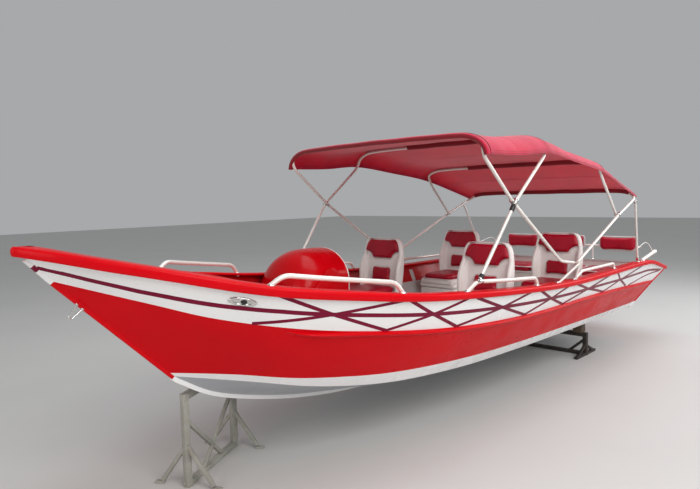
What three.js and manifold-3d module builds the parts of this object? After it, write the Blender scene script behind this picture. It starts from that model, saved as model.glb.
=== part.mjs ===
import * as THREE from 'three';
import { mergeVertices } from 'three/addons/utils/BufferGeometryUtils.js';
import Module from 'manifold-3d';

// Open aluminium motor launch with a framed canopy, standing on its two trestles.
// Millimetres: +X is forward, +Y is port, +Z is up. The floor is z = 0, the centre plane is y = 0.

// Driving dimensions
const GAP = 0.3;                 // clearance left where one piece rests against another
const KEEL_LIFT = 270;           // underside of the keel above the floor
const PLATE = 24;                // hull wall: plate, rib and lining together
const PLATE_AT_STEM = 9;         // the wall thins to this where the two sides meet
const STATIONS = 30;             // steps along the hull from transom to stem
const KEEL_HALF = 18;            // half width of the keel and stem bar
const KEEL_DEEP = 30;            // how far that bar stands out of the plating
const CAP_THICK = 20;            // gunwale cap
const CAP_WIDE = 95;
const CAP_NOSE = 24;             // how far the cap overhangs the topside
const LIP_BOW = 42;              // depth of the cap's outer lip at the bow
const LIP_AFT = 26;              // and amidships
const LIP_NOSE = 34;             // and at its very tip
const NOSE_REACH = 40;           // how far the cap's nose stands ahead of the stem
const SOLE_TOP = 590;            // top of the cockpit floor
const SOLE_THICK = 20;
const SOLE_FORE_END = 2560;
const DECK_THICK = 18;
const DECK_CAMBER = 26;
const FOREDECK_AFT_END = 2600;
const BENCH_BACK_X = -2990;      // fore face of the panel behind the aft bench
const RAIL_R = 16;               // grab rail tube radius
const BOW_R = 14;                // canopy tube radius
const RAIL_IN = 40;              // rails stand this far inboard of the sheer
const SEAT_Y = 610;              // seat centres off the centre plane
const SEAT_ROWS = [110, -1320];  // fore face of the seat backs
const CONSOLE_Y = -600;
const CONSOLE_AFT = 900;

const SHEER_END = [-3675, 640];   // x and height above the keel where the sheer meets the transom
const RAKE = 1.04;                // the transom goes this far forward for each unit down

const aboveKeel = (height) => KEEL_LIFT + height;
const transomX = (height) => SHEER_END[0] + (SHEER_END[1] - height) * RAKE;

// Hull lines, port side, stern to stem. Columns: x, half breadth, height above the keel's underside.
const HULL_LINES = {
  keel: [
    [transomX(36), 18, 36], [-1500, 18, 30], [300, 18, 34], [1010, 18, 66], [1490, 18, 112],
    [2000, 18, 208], [2510, 18, 366], [2760, 18, 512],
  ],
  chine: [
    [transomX(175), 735, 175], [-1340, 790, 215], [-100, 775, 235], [670, 712, 240], [1420, 590, 275],
    [1980, 430, 355], [2400, 250, 455], [2790, 18, 536],
  ],
  band: [
    [transomX(485), 905, 485], [-1470, 1010, 595], [140, 1020, 625], [1050, 955, 675], [1700, 835, 745],
    [2260, 662, 832], [2760, 440, 955], [3060, 282, 1065], [3475, 18, 1220],
  ],
  sheer: [
    [transomX(640), 1000, 640], [-3020, 1045, 772], [-2700, 1062, 792], [-570, 1108, 812], [370, 1102, 866],
    [970, 1062, 912], [1440, 1006, 955], [1960, 892, 1026], [2530, 690, 1118], [3120, 400, 1270],
    [3500, 168, 1368], [3640, 18, 1402],
  ],
};
const HULL_ORDER = ['keel', 'chine', 'band', 'sheer'];

// Canopy stations. Columns: x, half breadth, height of the edge above the keel, rise of the crown.
const CANOPY_STATIONS = [
  [865, 1118, 1925, 190],
  [350, 1115, 1935, 186],
  [-120, 1115, 1965, 180],
  [-740, 1108, 1905, 158],
  [-1350, 1098, 1825, 145],
  [-1900, 1082, 1695, 112],
  [-2370, 1068, 1570, 88],
];
const CANOPY_THICK = 7;
// Columns: fraction of the half breadth, fraction of the rise. Steep sides, nearly flat crown.
const CANOPY_SECTION = [
  [1, 0], [0.99, 0.25], [0.963, 0.5], [0.915, 0.72], [0.84, 0.88], [0.7, 0.955], [0.4, 0.985], [0, 1],
];

const paint = {
  red: { color: 0xc4060f, roughness: 0.25, metalness: 0.1 },
  darkRed: { color: 0x9c0410, roughness: 0.35, metalness: 0.1 },
  white: { color: 0xeef0f0, roughness: 0.3, metalness: 0.05 },
  grey: { color: 0xb9bcc0, roughness: 0.45, metalness: 0.2 },
  sole: { color: 0xb4b6b6, roughness: 0.6, metalness: 0.3 },
  shell: { color: 0xe6e6e2, roughness: 0.45, metalness: 0 },
  vinyl: { color: 0x8c0a1c, roughness: 0.5, metalness: 0 },
  canvas: { color: 0xa50f22, roughness: 0.85, metalness: 0 },
  tube: { color: 0xe3e1dc, roughness: 0.35, metalness: 0.6 },
  black: { color: 0x18181a, roughness: 0.5, metalness: 0.1 },
  trestleGrey: { color: 0x9c9a92, roughness: 0.6, metalness: 0.4 },
  trestleDark: { color: 0x2b211d, roughness: 0.7, metalness: 0.4 },
};

const wasm = await Module();
wasm.setup();

const launch = new THREE.Group();

function addPiece(name, geometry, look) {
  const mesh = new THREE.Mesh(geometry, new THREE.MeshStandardMaterial(look));
  mesh.name = name;
  launch.add(mesh);
  return mesh;
}

// Solids for joining and cutting
function toSolid(geometry) {
  const bare = geometry.clone();
  for (const key of Object.keys(bare.attributes)) {
    if (key !== 'position') bare.deleteAttribute(key);
  }
  const merged = mergeVertices(bare, 1e-3);
  return new wasm.Manifold(new wasm.Mesh({
    numProp: 3,
    vertProperties: Float32Array.from(merged.attributes.position.array),
    triVerts: Uint32Array.from(merged.index.array),
  }));
}

function toGeometry(solid) {
  const mesh = solid.getMesh();
  const geometry = new THREE.BufferGeometry();
  geometry.setAttribute('position', new THREE.BufferAttribute(Float32Array.from(mesh.vertProperties), 3));
  geometry.setIndex(new THREE.BufferAttribute(Uint32Array.from(mesh.triVerts), 1));
  return geometry;
}

const join = (...geometries) => toGeometry(geometries.map(toSolid).reduce((a, b) => a.add(b)));
const trim = (geometry, ...cutters) => toGeometry(
  cutters.map(toSolid).reduce((body, cutter) => body.subtract(cutter), toSolid(geometry)));
const within = (geometry, space) => toGeometry(toSolid(geometry).intersect(toSolid(space)));

// A closed body through rings of equal length. Each ring is a list of [x, y, z], and the ends are flat.
// Faces whose number is in crossed are split along their other diagonal.
function loft(rings, crossed = []) {
  const count = rings[0].length;
  const positions = rings.flat(2);
  const index = [];
  for (let i = 0; i + 1 < rings.length; i += 1) {
    for (let j = 0; j < count; j += 1) {
      const a = i * count + j;
      const b = i * count + (j + 1) % count;
      if (crossed.includes(j)) index.push(a, b, a + count, b, b + count, a + count);
      else index.push(a, b, b + count, a, b + count, a + count);
    }
  }
  const capRing = (start, ring, flip) => {
    const origin = new THREE.Vector3(...ring[0]);
    const normal = new THREE.Vector3();
    ring.forEach((point, j) => {
      const p = new THREE.Vector3(...point);
      const q = new THREE.Vector3(...ring[(j + 1) % count]);
      normal.add(p.sub(origin).cross(q.sub(origin)));
    });
    normal.normalize();
    const across = new THREE.Vector3(...ring[1]).sub(origin).normalize();
    const up = normal.clone().cross(across);
    const flat = ring.map((point) => {
      const p = new THREE.Vector3(...point).sub(origin);
      return new THREE.Vector2(p.dot(across), p.dot(up));
    });
    for (const [a, b, c] of THREE.ShapeUtils.triangulateShape(flat, [])) {
      index.push(...(flip ? [start + c, start + b, start + a] : [start + a, start + b, start + c]));
    }
  };
  capRing(0, rings[0], true);
  capRing((rings.length - 1) * count, rings[rings.length - 1], false);
  const geometry = new THREE.BufferGeometry();
  geometry.setAttribute('position', new THREE.Float32BufferAttribute(positions, 3));
  geometry.setIndex(index);
  return outward(geometry);
}

// Turns every face round when the body would otherwise be inside out.
function outward(geometry) {
  const p = geometry.attributes.position;
  const index = geometry.index.array;
  const [a, b, c] = [new THREE.Vector3(), new THREE.Vector3(), new THREE.Vector3()];
  let volume = 0;
  for (let i = 0; i < index.length; i += 3) {
    a.fromBufferAttribute(p, index[i]);
    b.fromBufferAttribute(p, index[i + 1]);
    c.fromBufferAttribute(p, index[i + 2]);
    volume += a.dot(b.cross(c));
  }
  if (volume < 0) {
    for (let i = 0; i < index.length; i += 3) {
      [index[i], index[i + 1]] = [index[i + 1], index[i]];
    }
  }
  return geometry;
}

function mirrored(geometry) {
  const copy = geometry.index ? geometry.clone() : mergeVertices(geometry);
  copy.scale(1, -1, 1);
  return outward(copy);
}

function box(x0, x1, y0, y1, z0, z1) {
  const geometry = new THREE.BoxGeometry(x1 - x0, y1 - y0, z1 - z0);
  geometry.translate((x0 + x1) / 2, (y0 + y1) / 2, (z0 + z1) / 2);
  return geometry;
}

// Round tube along points whose corners are rounded, as [x, y, z, corner radius].
function tube(points, radius, steps, sides = 10) {
  const path = new THREE.CurvePath();
  const at = points.map((p) => new THREE.Vector3(p[0], p[1], p[2]));
  let from = at[0];
  for (let i = 1; i + 1 < at.length; i += 1) {
    const back = at[i - 1].clone().sub(at[i]);
    const on = at[i + 1].clone().sub(at[i]);
    const cut = Math.min(points[i][3] ?? 0, back.length() * 0.48, on.length() * 0.48);
    const enter = at[i].clone().addScaledVector(back.normalize(), cut);
    const leave = at[i].clone().addScaledVector(on.normalize(), cut);
    path.add(new THREE.LineCurve3(from, enter));
    path.add(new THREE.QuadraticBezierCurve3(enter, at[i], leave));
    from = leave;
  }
  path.add(new THREE.LineCurve3(from, at[at.length - 1]));
  const circle = new THREE.Shape().absarc(0, 0, radius, 0, 2 * Math.PI);
  const curveSegments = sides / 2;
  return new THREE.ExtrudeGeometry(circle, { steps, curveSegments, extrudePath: path, bevelEnabled: false });
}

// Outline in the plane of x and z, pushed through from y0 to y1.
function slabXZ(outline, y0, y1) {
  return loft([outline.map(([x, z]) => [x, y0, z]), outline.map(([x, z]) => [x, y1, z])]);
}

// Square bar from one point to another in the plane of x and z, its middle on y = 0.
function strut(from, to, thick) {
  const [dx, dz] = [to[0] - from[0], to[1] - from[1]];
  const half = thick / 2 / Math.hypot(dx, dz);
  const corner = ([x, z], side) => [x - dz * half * side, z + dx * half * side];
  return slabXZ([corner(from, -1), corner(to, -1), corner(to, 1), corner(from, 1)], -thick / 2, thick / 2);
}

// Hull surface: four lines, sampled alike, and the wall's inner face behind each of them
function sampleLine(name) {
  const points = HULL_LINES[name].map(([x, y, height]) => new THREE.Vector3(x, y, aboveKeel(height)));
  return new THREE.CatmullRomCurve3(points, false, 'centripetal').getSpacedPoints(STATIONS);
}
const outer = Object.fromEntries(HULL_ORDER.map((name) => [name, sampleLine(name)]));

function wallAt(i) {
  const fromStem = (STATIONS - i) / (STATIONS * 0.14);
  return THREE.MathUtils.lerp(PLATE_AT_STEM, PLATE, Math.min(1, fromStem));
}

function stripNormal(lower, upper, i) {
  const before = Math.max(0, i - 1);
  const after = Math.min(STATIONS, i + 1);
  const along = outer[lower][after].clone().sub(outer[lower][before]);
  const across = outer[upper][i].clone().sub(outer[lower][i]);
  return across.cross(along).normalize();
}

function innerLine(name, extra = 0) {
  const k = HULL_ORDER.indexOf(name);
  return outer[name].map((point, i) => {
    const normal = new THREE.Vector3();
    if (k > 0) normal.add(stripNormal(HULL_ORDER[k - 1], name, i));
    if (k + 1 < HULL_ORDER.length) normal.add(stripNormal(name, HULL_ORDER[k + 1], i));
    normal.normalize();
    const inner = point.clone().addScaledVector(normal, -(wallAt(i) + extra));
    inner.y = Math.max(inner.y, 1);
    if (name === 'sheer') inner.z = point.z - 3;
    if (i === 0) inner.x = transomX(inner.z - KEEL_LIFT);
    return inner;
  });
}
const inner = Object.fromEntries(HULL_ORDER.map((name) => [name, innerLine(name)]));

// One strake of plating between two hull lines, with half a gap left at each long edge.
function plating(lower, upper) {
  const rings = outer[lower].map((low, i) => {
    const high = outer[upper][i];
    const outUp = high.clone().sub(low).setLength(GAP / 2);
    const inUp = inner[upper][i].clone().sub(inner[lower][i]).setLength(GAP / 2);
    return [
      low.clone().add(outUp), high.clone().sub(outUp),
      inner[upper][i].clone().sub(inUp), inner[lower][i].clone().add(inUp),
    ].map((p) => [p.x, p.y, p.z]);
  });
  return loft(rings, [3]);
}

const HEADROOM = 700;             // so that a console or seat can be cut to the hull with the same body
// The hollow of the hull, up to well above the sheer, standing a gap off the wall's inner face.
function hullSpace() {
  const lines = Object.fromEntries(HULL_ORDER.map((name) => [name, innerLine(name, GAP)]));
  const rings = [];
  for (let i = 0; i <= STATIONS; i += 1) {
    const port = HULL_ORDER.map((name) => [lines[name][i].x, lines[name][i].y, lines[name][i].z]);
    const [x, y, z] = port[port.length - 1];
    const high = z + HEADROOM;
    port.push([i === 0 ? transomX(high - KEEL_LIFT) : x, y, high]);
    const starboard = port.map((p) => [p[0], -p[1], p[2]]).reverse();
    rings.push([...port, ...starboard]);
  }
  return loft(rings, [0, 1, 2]);
}
const space = hullSpace();

// Keel and stem bar: one bar that follows the forefoot, white to the boot stripe and red above it.
function barAlong(line, startNormal) {
  const rings = line.map(([x, z], i) => {
    const [xa, za] = line[Math.max(0, i - 1)];
    const [xb, zb] = line[Math.min(line.length - 1, i + 1)];
    const along = new THREE.Vector2(xb - xa, zb - za).normalize();
    let out = new THREE.Vector2(along.y, -along.x);
    if (i === 0 && startNormal) out = startNormal;
    const at = (depth, y) => [x + out.x * depth, y, z + out.y * depth];
    const face = KEEL_HALF * 0.7;
    return [at(GAP, KEEL_HALF), at(GAP, -KEEL_HALF), at(KEEL_DEEP, -face), at(KEEL_DEEP, face)];
  });
  return loft(rings);
}

function buildHull() {
  const names = { bottom: ['keel', 'chine', paint.grey], side: ['chine', 'band', paint.red],
    band: ['band', 'sheer', paint.white] };
  for (const [name, [lower, upper, look]] of Object.entries(names)) {
    const port = plating(lower, upper);
    addPiece(`hull_${name}_port`, port, look);
    addPiece(`hull_${name}_starboard`, mirrored(port), look);
  }
  const [foot, mid, head] = ['chine', 'band', 'sheer'].map((name) => outer[name][STATIONS]);
  const keel = [...outer.keel, foot].map((p) => [p.x, p.z]);
  addPiece('keel_bar', barAlong(keel), paint.white);
  const [before, last] = keel.slice(-2);
  const joint = new THREE.Vector2(last[1] - before[1], before[0] - last[0]).normalize();
  const lowest = foot.clone().add(mid.clone().sub(foot).setLength(GAP * 2));
  const tip = head.clone().lerp(mid, (LIP_NOSE + 12) / (head.z - mid.z));
  addPiece('stem_bar', barAlong([lowest, mid, tip].map((p) => [p.x, p.z]), joint), paint.red);
}

// Raked transom plate closing the aft ends of the plating
function buildTransom() {
  const out = new THREE.Vector2(-1, -RAKE).normalize();
  const half = HULL_ORDER.map((name) => outer[name][0]);
  const ring = (depth) => {
    const port = half.map((p) => [p.x + out.x * depth, p.y, p.z + out.y * depth]);
    return [...port, ...port.map(([x, y, z]) => [x, -y, z]).reverse()];
  };
  addPiece('transom', loft([ring(GAP), ring(PLATE)]), paint.red);
}

// Gunwale cap: flat top on the edge of the plating, with a lip outside it
function capRing(i, shape) {
  const sheer = outer.sheer;
  const point = sheer[Math.min(i, STATIONS)];
  const back = sheer[Math.max(0, Math.min(i, STATIONS) - 1)];
  const on = sheer[Math.min(STATIONS, i + 1)];
  const along = new THREE.Vector2(on.x - back.x, on.y - back.y).normalize();
  const out = new THREE.Vector2(-along.y, along.x);
  const { lerp, smoothstep } = THREE.MathUtils;
  const bowward = lerp(LIP_AFT, LIP_BOW, smoothstep(point.x, 500, 3000));
  const lip = lerp(bowward, LIP_NOSE, smoothstep(point.x, 3250, 3640));
  const nose = i > STATIONS ? CAP_NOSE * 0.25 : CAP_NOSE;
  const reach = i > STATIONS ? NOSE_REACH : 0;
  const section = shape ?? [
    [-CAP_WIDE, GAP], [GAP * 2, GAP], [GAP * 2, -lip], [nose * 0.6, -lip], [nose, -lip * 0.5],
    [nose, CAP_THICK * 0.4], [nose * 0.6, CAP_THICK], [-CAP_WIDE, CAP_THICK],
  ];
  const x = point.x + along.x * reach;
  const y = point.y + along.y * reach;
  return section.map(([o, up]) => [x + out.x * o, y + out.y * o, point.z + up]);
}

// Everything below the cap's top, used to end a post on it
function belowCap() {
  const top = CAP_THICK + GAP * 2;
  const rings = [];
  for (let i = 0; i <= STATIONS; i += 1) {
    rings.push(capRing(i, [[-150, -200], [60, -200], [60, top], [-150, top]]));
  }
  return loft(rings);
}

function buildGunwales() {
  const rings = [];
  for (let i = 0; i <= STATIONS + 1; i += 1) rings.push(capRing(i));
  const portSide = box(-5000, 5000, GAP, 3000, -100, 4000);
  const port = within(loft(rings), portSide);
  addPiece('gunwale_port', port, paint.red);
  addPiece('gunwale_starboard', mirrored(port), paint.red);
}

// Pressed spray strake along the foot of the white band
function buildStrakes() {
  const first = Math.round(STATIONS * 0.02);
  const last = Math.round(STATIONS * 0.82);
  const rings = [];
  for (let i = first; i <= last; i += 1) {
    const low = outer.chine[i];
    const high = outer.band[i];
    const down = low.clone().sub(high).normalize();
    const normal = stripNormal('chine', 'band', i);
    const taper = Math.min(1, (last - i + 0.15) / 1.6);
    const at = (along, off) => {
      const p = high.clone().addScaledVector(down, along).addScaledVector(normal, off);
      return [p.x, p.y, p.z];
    };
    rings.push([at(6, GAP * 2), at(8, 26 * taper + 1), at(24, 20 * taper + 1), at(46, GAP * 2)]);
  }
  const port = loft(rings);
  addPiece('spray_strake_port', port, paint.red);
  addPiece('spray_strake_starboard', mirrored(port), paint.red);
}

function lineAt(name, x) {
  const line = outer[name];
  for (let i = 0; i < STATIONS; i += 1) {
    if (line[i].x <= x && x <= line[i + 1].x) {
      const t = (x - line[i].x) / (line[i + 1].x - line[i].x);
      return line[i].clone().lerp(line[i + 1], t);
    }
  }
  return x < line[0].x ? line[0].clone() : line[STATIONS].clone();
}
const sheerAt = (x) => lineAt('sheer', x);

// Decks
const sternDeckTop = (x) => sheerAt(x).z - 4;
function sternDeck(lift, depth) {
  const top = [SHEER_END[0], -3020, BENCH_BACK_X + 6].map((x) => [x, sternDeckTop(x) + lift]);
  return slabXZ([...top, ...top.map(([x, z]) => [x, z - depth]).reverse()], -1200, 1200);
}

function buildDecks() {
  const rings = [];
  const xs = [FOREDECK_AFT_END];
  for (const p of outer.sheer) {
    if (p.x > FOREDECK_AFT_END + 40 && p.x < 3560) xs.push(p.x);
  }
  for (const x of xs) {
    const { y, z } = sheerAt(x);
    const flat = Math.max(y - CAP_WIDE - 14, 4);
    const edge = y + 30;
    const top = z - GAP;
    const crown = top + DECK_CAMBER * Math.min(1, flat / 400);
    rings.push([
      [x, edge, top], [x, flat, top], [x, 0, crown], [x, -flat, top], [x, -edge, top],
      [x, -edge, top - DECK_THICK], [x, edge, top - DECK_THICK],
    ]);
  }
  addPiece('foredeck', within(loft(rings), space), paint.red);
  const bulkTop = sheerAt(FOREDECK_AFT_END + 20).z - DECK_THICK - 2 * GAP - 6;
  const bulkhead = box(FOREDECK_AFT_END + 8, FOREDECK_AFT_END + 26, -1200, 1200, SOLE_TOP - 120, bulkTop);
  addPiece('fore_bulkhead', within(bulkhead, space), paint.red);
  const sole = box(-3040, SOLE_FORE_END, -1200, 1200, SOLE_TOP - SOLE_THICK, SOLE_TOP);
  addPiece('cockpit_sole', within(sole, space), paint.sole);
  addPiece('stern_deck', within(sternDeck(0, DECK_THICK), space), paint.red);
  const panelAft = BENCH_BACK_X - 16;
  const panelTop = Math.min(sternDeckTop(panelAft), sternDeckTop(BENCH_BACK_X)) - DECK_THICK - GAP * 3;
  const panel = box(panelAft, BENCH_BACK_X, -1200, 1200, SOLE_TOP + GAP, panelTop);
  addPiece('aft_bulkhead', within(panel, space), paint.white);
}

// Helm console: a domed cowl, open aft, edged with a tube, and a dash panel inside it
const COWL_TOP = 1470;
const COWL_SIDE_TOP = 1190;
function cowlRing(x, half, top, side, inset) {
  const ring = [];
  const h = half - inset;
  const crown = top - inset;
  ring.push([x, CONSOLE_Y - h, SOLE_TOP + GAP]);
  const arcs = 14;
  for (let k = 0; k <= arcs; k += 1) {
    const a = Math.PI - (Math.PI * k) / arcs;
    ring.push([x, CONSOLE_Y + h * Math.cos(a), side + (crown - side) * Math.sin(a)]);
  }
  ring.push([x, CONSOLE_Y + h, SOLE_TOP + GAP]);
  return ring;
}
// Columns: x, half width, crown height, height where the dome starts
const COWL_STATIONS = [
  [CONSOLE_AFT, 350, COWL_TOP, COWL_SIDE_TOP], [1080, 350, COWL_TOP, COWL_SIDE_TOP],
  [1230, 340, COWL_TOP - 46, COWL_SIDE_TOP - 30], [1350, 315, COWL_TOP - 120, COWL_SIDE_TOP - 90],
  [1440, 270, COWL_TOP - 240, COWL_SIDE_TOP - 180], [1490, 215, COWL_TOP - 400, COWL_SIDE_TOP - 300],
];
const COWL_WALL = 14;
const RIM_FOOT = 1010;
const RIM_R = 13;
const DASH_X = 1000;              // where the dash's aft face passes a height of 1100
const DASH_LEAN = 0.162;
const withFeet = (ring, z) => ring.map((p, j) => (j === 0 || j === ring.length - 1 ? [p[0], p[1], z] : p));
const dashRing = (x) => cowlRing(x, 350, COWL_TOP, COWL_SIDE_TOP, COWL_WALL + GAP)
  .map(([a, b, c]) => [a + DASH_LEAN * (c - 1100), b, c]);
function buildConsole() {
  const shell = loft(COWL_STATIONS.map((row) => cowlRing(...row, 0)));
  const hollow = COWL_STATIONS.slice(0, -1).map(([x, ...sizes], k) => (
    withFeet(cowlRing(k === 0 ? x - 20 : x, ...sizes, COWL_WALL), SOLE_TOP - 40)));
  addPiece('console_cowl', within(trim(shell, loft(hollow)), space), paint.red);
  const arch = cowlRing(CONSOLE_AFT - RIM_R - 0.5, 330, COWL_TOP - 12, COWL_SIDE_TOP, 0);
  const rim = withFeet(arch, RIM_FOOT).map((point) => [...point, 30]);
  addPiece('console_rim', tube(rim, RIM_R, 28, 8), paint.tube);
  const dash = loft([dashRing(DASH_X), dashRing(DASH_X + 12)]);
  addPiece('console_dash', within(dash, space), paint.darkRed);
}

// Steering wheel on a short column aft of the dash
const WHEEL = { radius: 155, tubeRadius: 13, tilt: 0.45, x: 865, z: 1240, hub: 15 };
function buildWheel() {
  const rim = new THREE.TorusGeometry(WHEEL.radius, WHEEL.tubeRadius, 8, 24);
  const hub = new THREE.CylinderGeometry(34, 34, WHEEL.hub * 2, 20);
  hub.rotateX(Math.PI / 2);
  let body = toSolid(rim).add(toSolid(hub));
  for (const angle of [60, 180, 300]) {
    const spoke = new THREE.BoxGeometry(WHEEL.radius, 24, 8);
    spoke.translate(WHEEL.radius / 2, 0, 0);
    spoke.rotateZ(THREE.MathUtils.degToRad(angle));
    body = body.add(toSolid(spoke));
  }
  const geometry = toGeometry(body);
  geometry.rotateY(-Math.PI / 2 + WHEEL.tilt);
  geometry.translate(WHEEL.x, CONSOLE_Y, WHEEL.z);
  addPiece('steering_wheel', geometry, paint.black);
  const length = 220;
  const column = new THREE.CylinderGeometry(22, 30, length, 20);
  column.rotateZ(Math.PI / 2);
  column.translate(WHEEL.hub + GAP + length / 2, 0, 0);
  column.rotateY(WHEEL.tilt);
  column.translate(WHEEL.x, CONSOLE_Y, WHEEL.z);
  const beyondDash = loft([dashRing(DASH_X - GAP * 1.5), dashRing(DASH_X + 400)]);
  addPiece('steering_column', trim(column, beyondDash), paint.tube);
}

// Seats: white box, moulded bucket back, padded cushion and padded back
const SEAT = {
  half: 240, length: 470, boxTop: 885, cushionTop: 1005, backTop: 1480, backFoot: 885,
  wall: 34, wing: 95, lean: 0.14,
};
function buildSeat(label, x, y) {
  const foot = x - 70;
  const boxFore = x + SEAT.length - 40;
  const base = box(foot - 20, boxFore, y - SEAT.half, y + SEAT.half, SOLE_TOP + GAP, SEAT.boxTop);
  const lean = (z) => -(z - SEAT.backFoot) * SEAT.lean;
  const level = (z, half, wing) => {
    const fore = x - 40 + lean(z);
    const wall = SEAT.wall;
    return [
      [fore - wall, y - half, z], [fore - wall, y + half, z],
      [fore + wing, y + half, z], [fore + wing, y + half - wall, z],
      [fore, y + half - wall, z], [fore, y - half + wall, z],
      [fore + wing, y - half + wall, z], [fore + wing, y - half, z],
    ];
  };
  const back = loft([
    level(SEAT.backFoot - 20, 252, 60), level(1180, 268, SEAT.wing), level(1380, 250, 34),
    level(1450, 225, 8), level(SEAT.backTop, 190, 2),
  ]);
  addPiece(`seat_${label}_shell`, within(join(base, back), space), paint.shell);
  const cushion = box(x - 38 + 2, x + SEAT.length - 20, y - 205, y + 205, SEAT.boxTop + GAP, SEAT.cushionTop);
  addPiece(`seat_${label}_cushion`, cushion, paint.vinyl);
  const padLevel = (z, half, thick) => {
    const fore = x - 40 + lean(z) + GAP * 2;
    return [
      [fore, y - half, z], [fore + thick, y - half + 12, z],
      [fore + thick, y + half - 12, z], [fore, y + half, z],
    ];
  };
  const pad = loft([
    padLevel(SEAT.cushionTop + 4, 124, 46), padLevel(1185, 124, 52), padLevel(1262, 130, 52),
    padLevel(1305, 158, 54), padLevel(1350, 212, 54), padLevel(1440, 190, 46), padLevel(1468, 162, 34),
  ]);
  addPiece(`seat_${label}_back`, pad, paint.vinyl);
}

// Aft bench: box, cushion and three backrest pads on a tube frame
const BENCH = { fore: -2500, top: 885, cushionTop: 970, padBottom: 1165, padTop: 1335 };
function buildBench() {
  const base = box(BENCH.fore - 16, BENCH.fore, -1200, 1200, SOLE_TOP + GAP, BENCH.top);
  const top = box(BENCH_BACK_X + GAP, BENCH.fore, -1200, 1200, BENCH.top - 18, BENCH.top);
  addPiece('bench_base', within(join(base, top), space), paint.white);
  const cushion = box(BENCH_BACK_X + 4, BENCH.fore + 12, -880, 880, BENCH.top + GAP, BENCH.cushionTop);
  addPiece('bench_cushion', cushion, paint.vinyl);
  const padX = BENCH_BACK_X - 30;
  const halfPad = 225;
  const labels = { starboard: -645, middle: 0, port: 645 };
  const railZ = BENCH.padBottom + 50;
  const bar = tube([[padX - 14, -900, railZ], [padX - 14, 900, railZ]], 13, 1, 10);
  const legs = [-860, -320, 320, 860].map((y) => (
    tube([[padX - 14, y, sternDeckTop(padX) - 40], [padX - 14, y, railZ]], 11, 1, 8)));
  const frame = trim(join(bar, ...legs), sternDeck(GAP, 200));
  addPiece('bench_back_frame', frame, paint.tube);
  frame.computeBoundingBox();
  const padBack = frame.boundingBox.max.x + GAP;
  for (const [label, y] of Object.entries(labels)) {
    const pad = box(padBack, padBack + 60, y - halfPad, y + halfPad, BENCH.padBottom, BENCH.padTop);
    addPiece(`bench_back_${label}`, pad, paint.vinyl);
  }
}

// Canopy cloth as one thin arched shell
// Half of the section at one station, edge to crown, moved inwards by an inset: [y, z]
function canopySide(half, height, rise, inset) {
  const side = CANOPY_SECTION.map(([a, b]) => new THREE.Vector2(half * a, aboveKeel(height) + rise * b));
  const crown = side.length - 1;
  return side.map((p, k) => {
    const before = side[Math.max(0, k - 1)];
    const after = k === crown ? new THREE.Vector2(-before.x, before.y) : side[k + 1];
    const along = after.clone().sub(before).normalize();
    return [k === crown ? 0 : p.x - along.y * inset, p.y + along.x * inset];
  });
}

function canopyRing(x, ...sizes) {
  const across = (inset) => {
    const port = canopySide(...sizes, inset).map(([y, z]) => [x, y, z]);
    return [...port, ...port.slice(0, -1).reverse().map(([px, y, z]) => [px, -y, z])];
  };
  return [...across(0), ...across(CANOPY_THICK).reverse()];
}

function buildCanopy() {
  addPiece('canopy', loft(CANOPY_STATIONS.map((row) => canopyRing(...row))), paint.canvas);
}

function canopyAt(x) {
  for (let i = 0; i + 1 < CANOPY_STATIONS.length; i += 1) {
    const a = CANOPY_STATIONS[i];
    const b = CANOPY_STATIONS[i + 1];
    if (a[0] >= x && x >= b[0]) {
      const t = (x - a[0]) / (b[0] - a[0]);
      return a.map((v, k) => v + (b[k] - v) * t);
    }
  }
  return CANOPY_STATIONS[CANOPY_STATIONS.length - 1];
}

// A bow: port leg, over under the cloth, starboard leg. The legs' points are [x, z, y], foot first,
// and y is the bow's own plane where it isn't given.
function bow(legs, x, plane) {
  const [, ...sizes] = canopyAt(x);
  const over = canopySide(...sizes, BOW_R + CANOPY_THICK + 3 * GAP).slice(2).map(([y, z]) => [x, y, z]);
  const leg = legs.map(([lx, lz, ly]) => [lx, ly ?? plane, lz, 60]);
  const side = [...leg, ...over.map((p) => [...p, 60])];
  const far = side.slice(0, -1).reverse().map(([px, y, z, r]) => [px, -y, z, r]);
  return tube([...side, ...far], BOW_R, 56, 8);
}

// Places on the canopy frame, x and z, that several pieces share
const HINGE_FORE_X = 850;
const HINGE_MID = [-760, 1250];
const CROSSING = [395, 1845];
const JOINT_AFT = [-1800, 1660];
const POLE_FOOT_X = -2560;
const PLANE_IN = 1068;

function buildCanopyFrame() {
  const beside = 2 * (BOW_R + GAP);
  const plane = PLANE_IN;
  const pin = hingePin(GAP);
  const pins = [pin, mirrored(pin)];
  const frontLegs = [HINGE_MID, [-480, 1288], CROSSING, [818, 2190]];
  addPiece('bow_front', trim(bow(frontLegs, 838, plane - beside / 2), ...pins), paint.tube);
  const seat = railTube(RAILS.middle, RAIL_R + GAP);
  const onRail = railPoint(HINGE_FORE_X, RAILS.middle[1][1]);
  const crossing = [...CROSSING, plane + beside / 2 + 4 * GAP];
  const mainLegs = [[onRail[0], onRail[2], onRail[1]], crossing, [-106, 2225]];
  const main = bow(mainLegs, -120, plane + beside / 2);
  addPiece('bow_main', trim(main, seat, mirrored(seat)), paint.tube);
  const aftLegs = [HINGE_MID, JOINT_AFT, [-2270, 1820]];
  addPiece('bow_aft', trim(bow(aftLegs, -2340, plane + beside / 2), ...pins), paint.tube);
  const slantLegs = [JOINT_AFT, [-1420, 2030]];
  addPiece('bow_slant', bow(slantLegs, -1350, plane - beside / 2 + GAP * 1.5), paint.tube);
}

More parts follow.
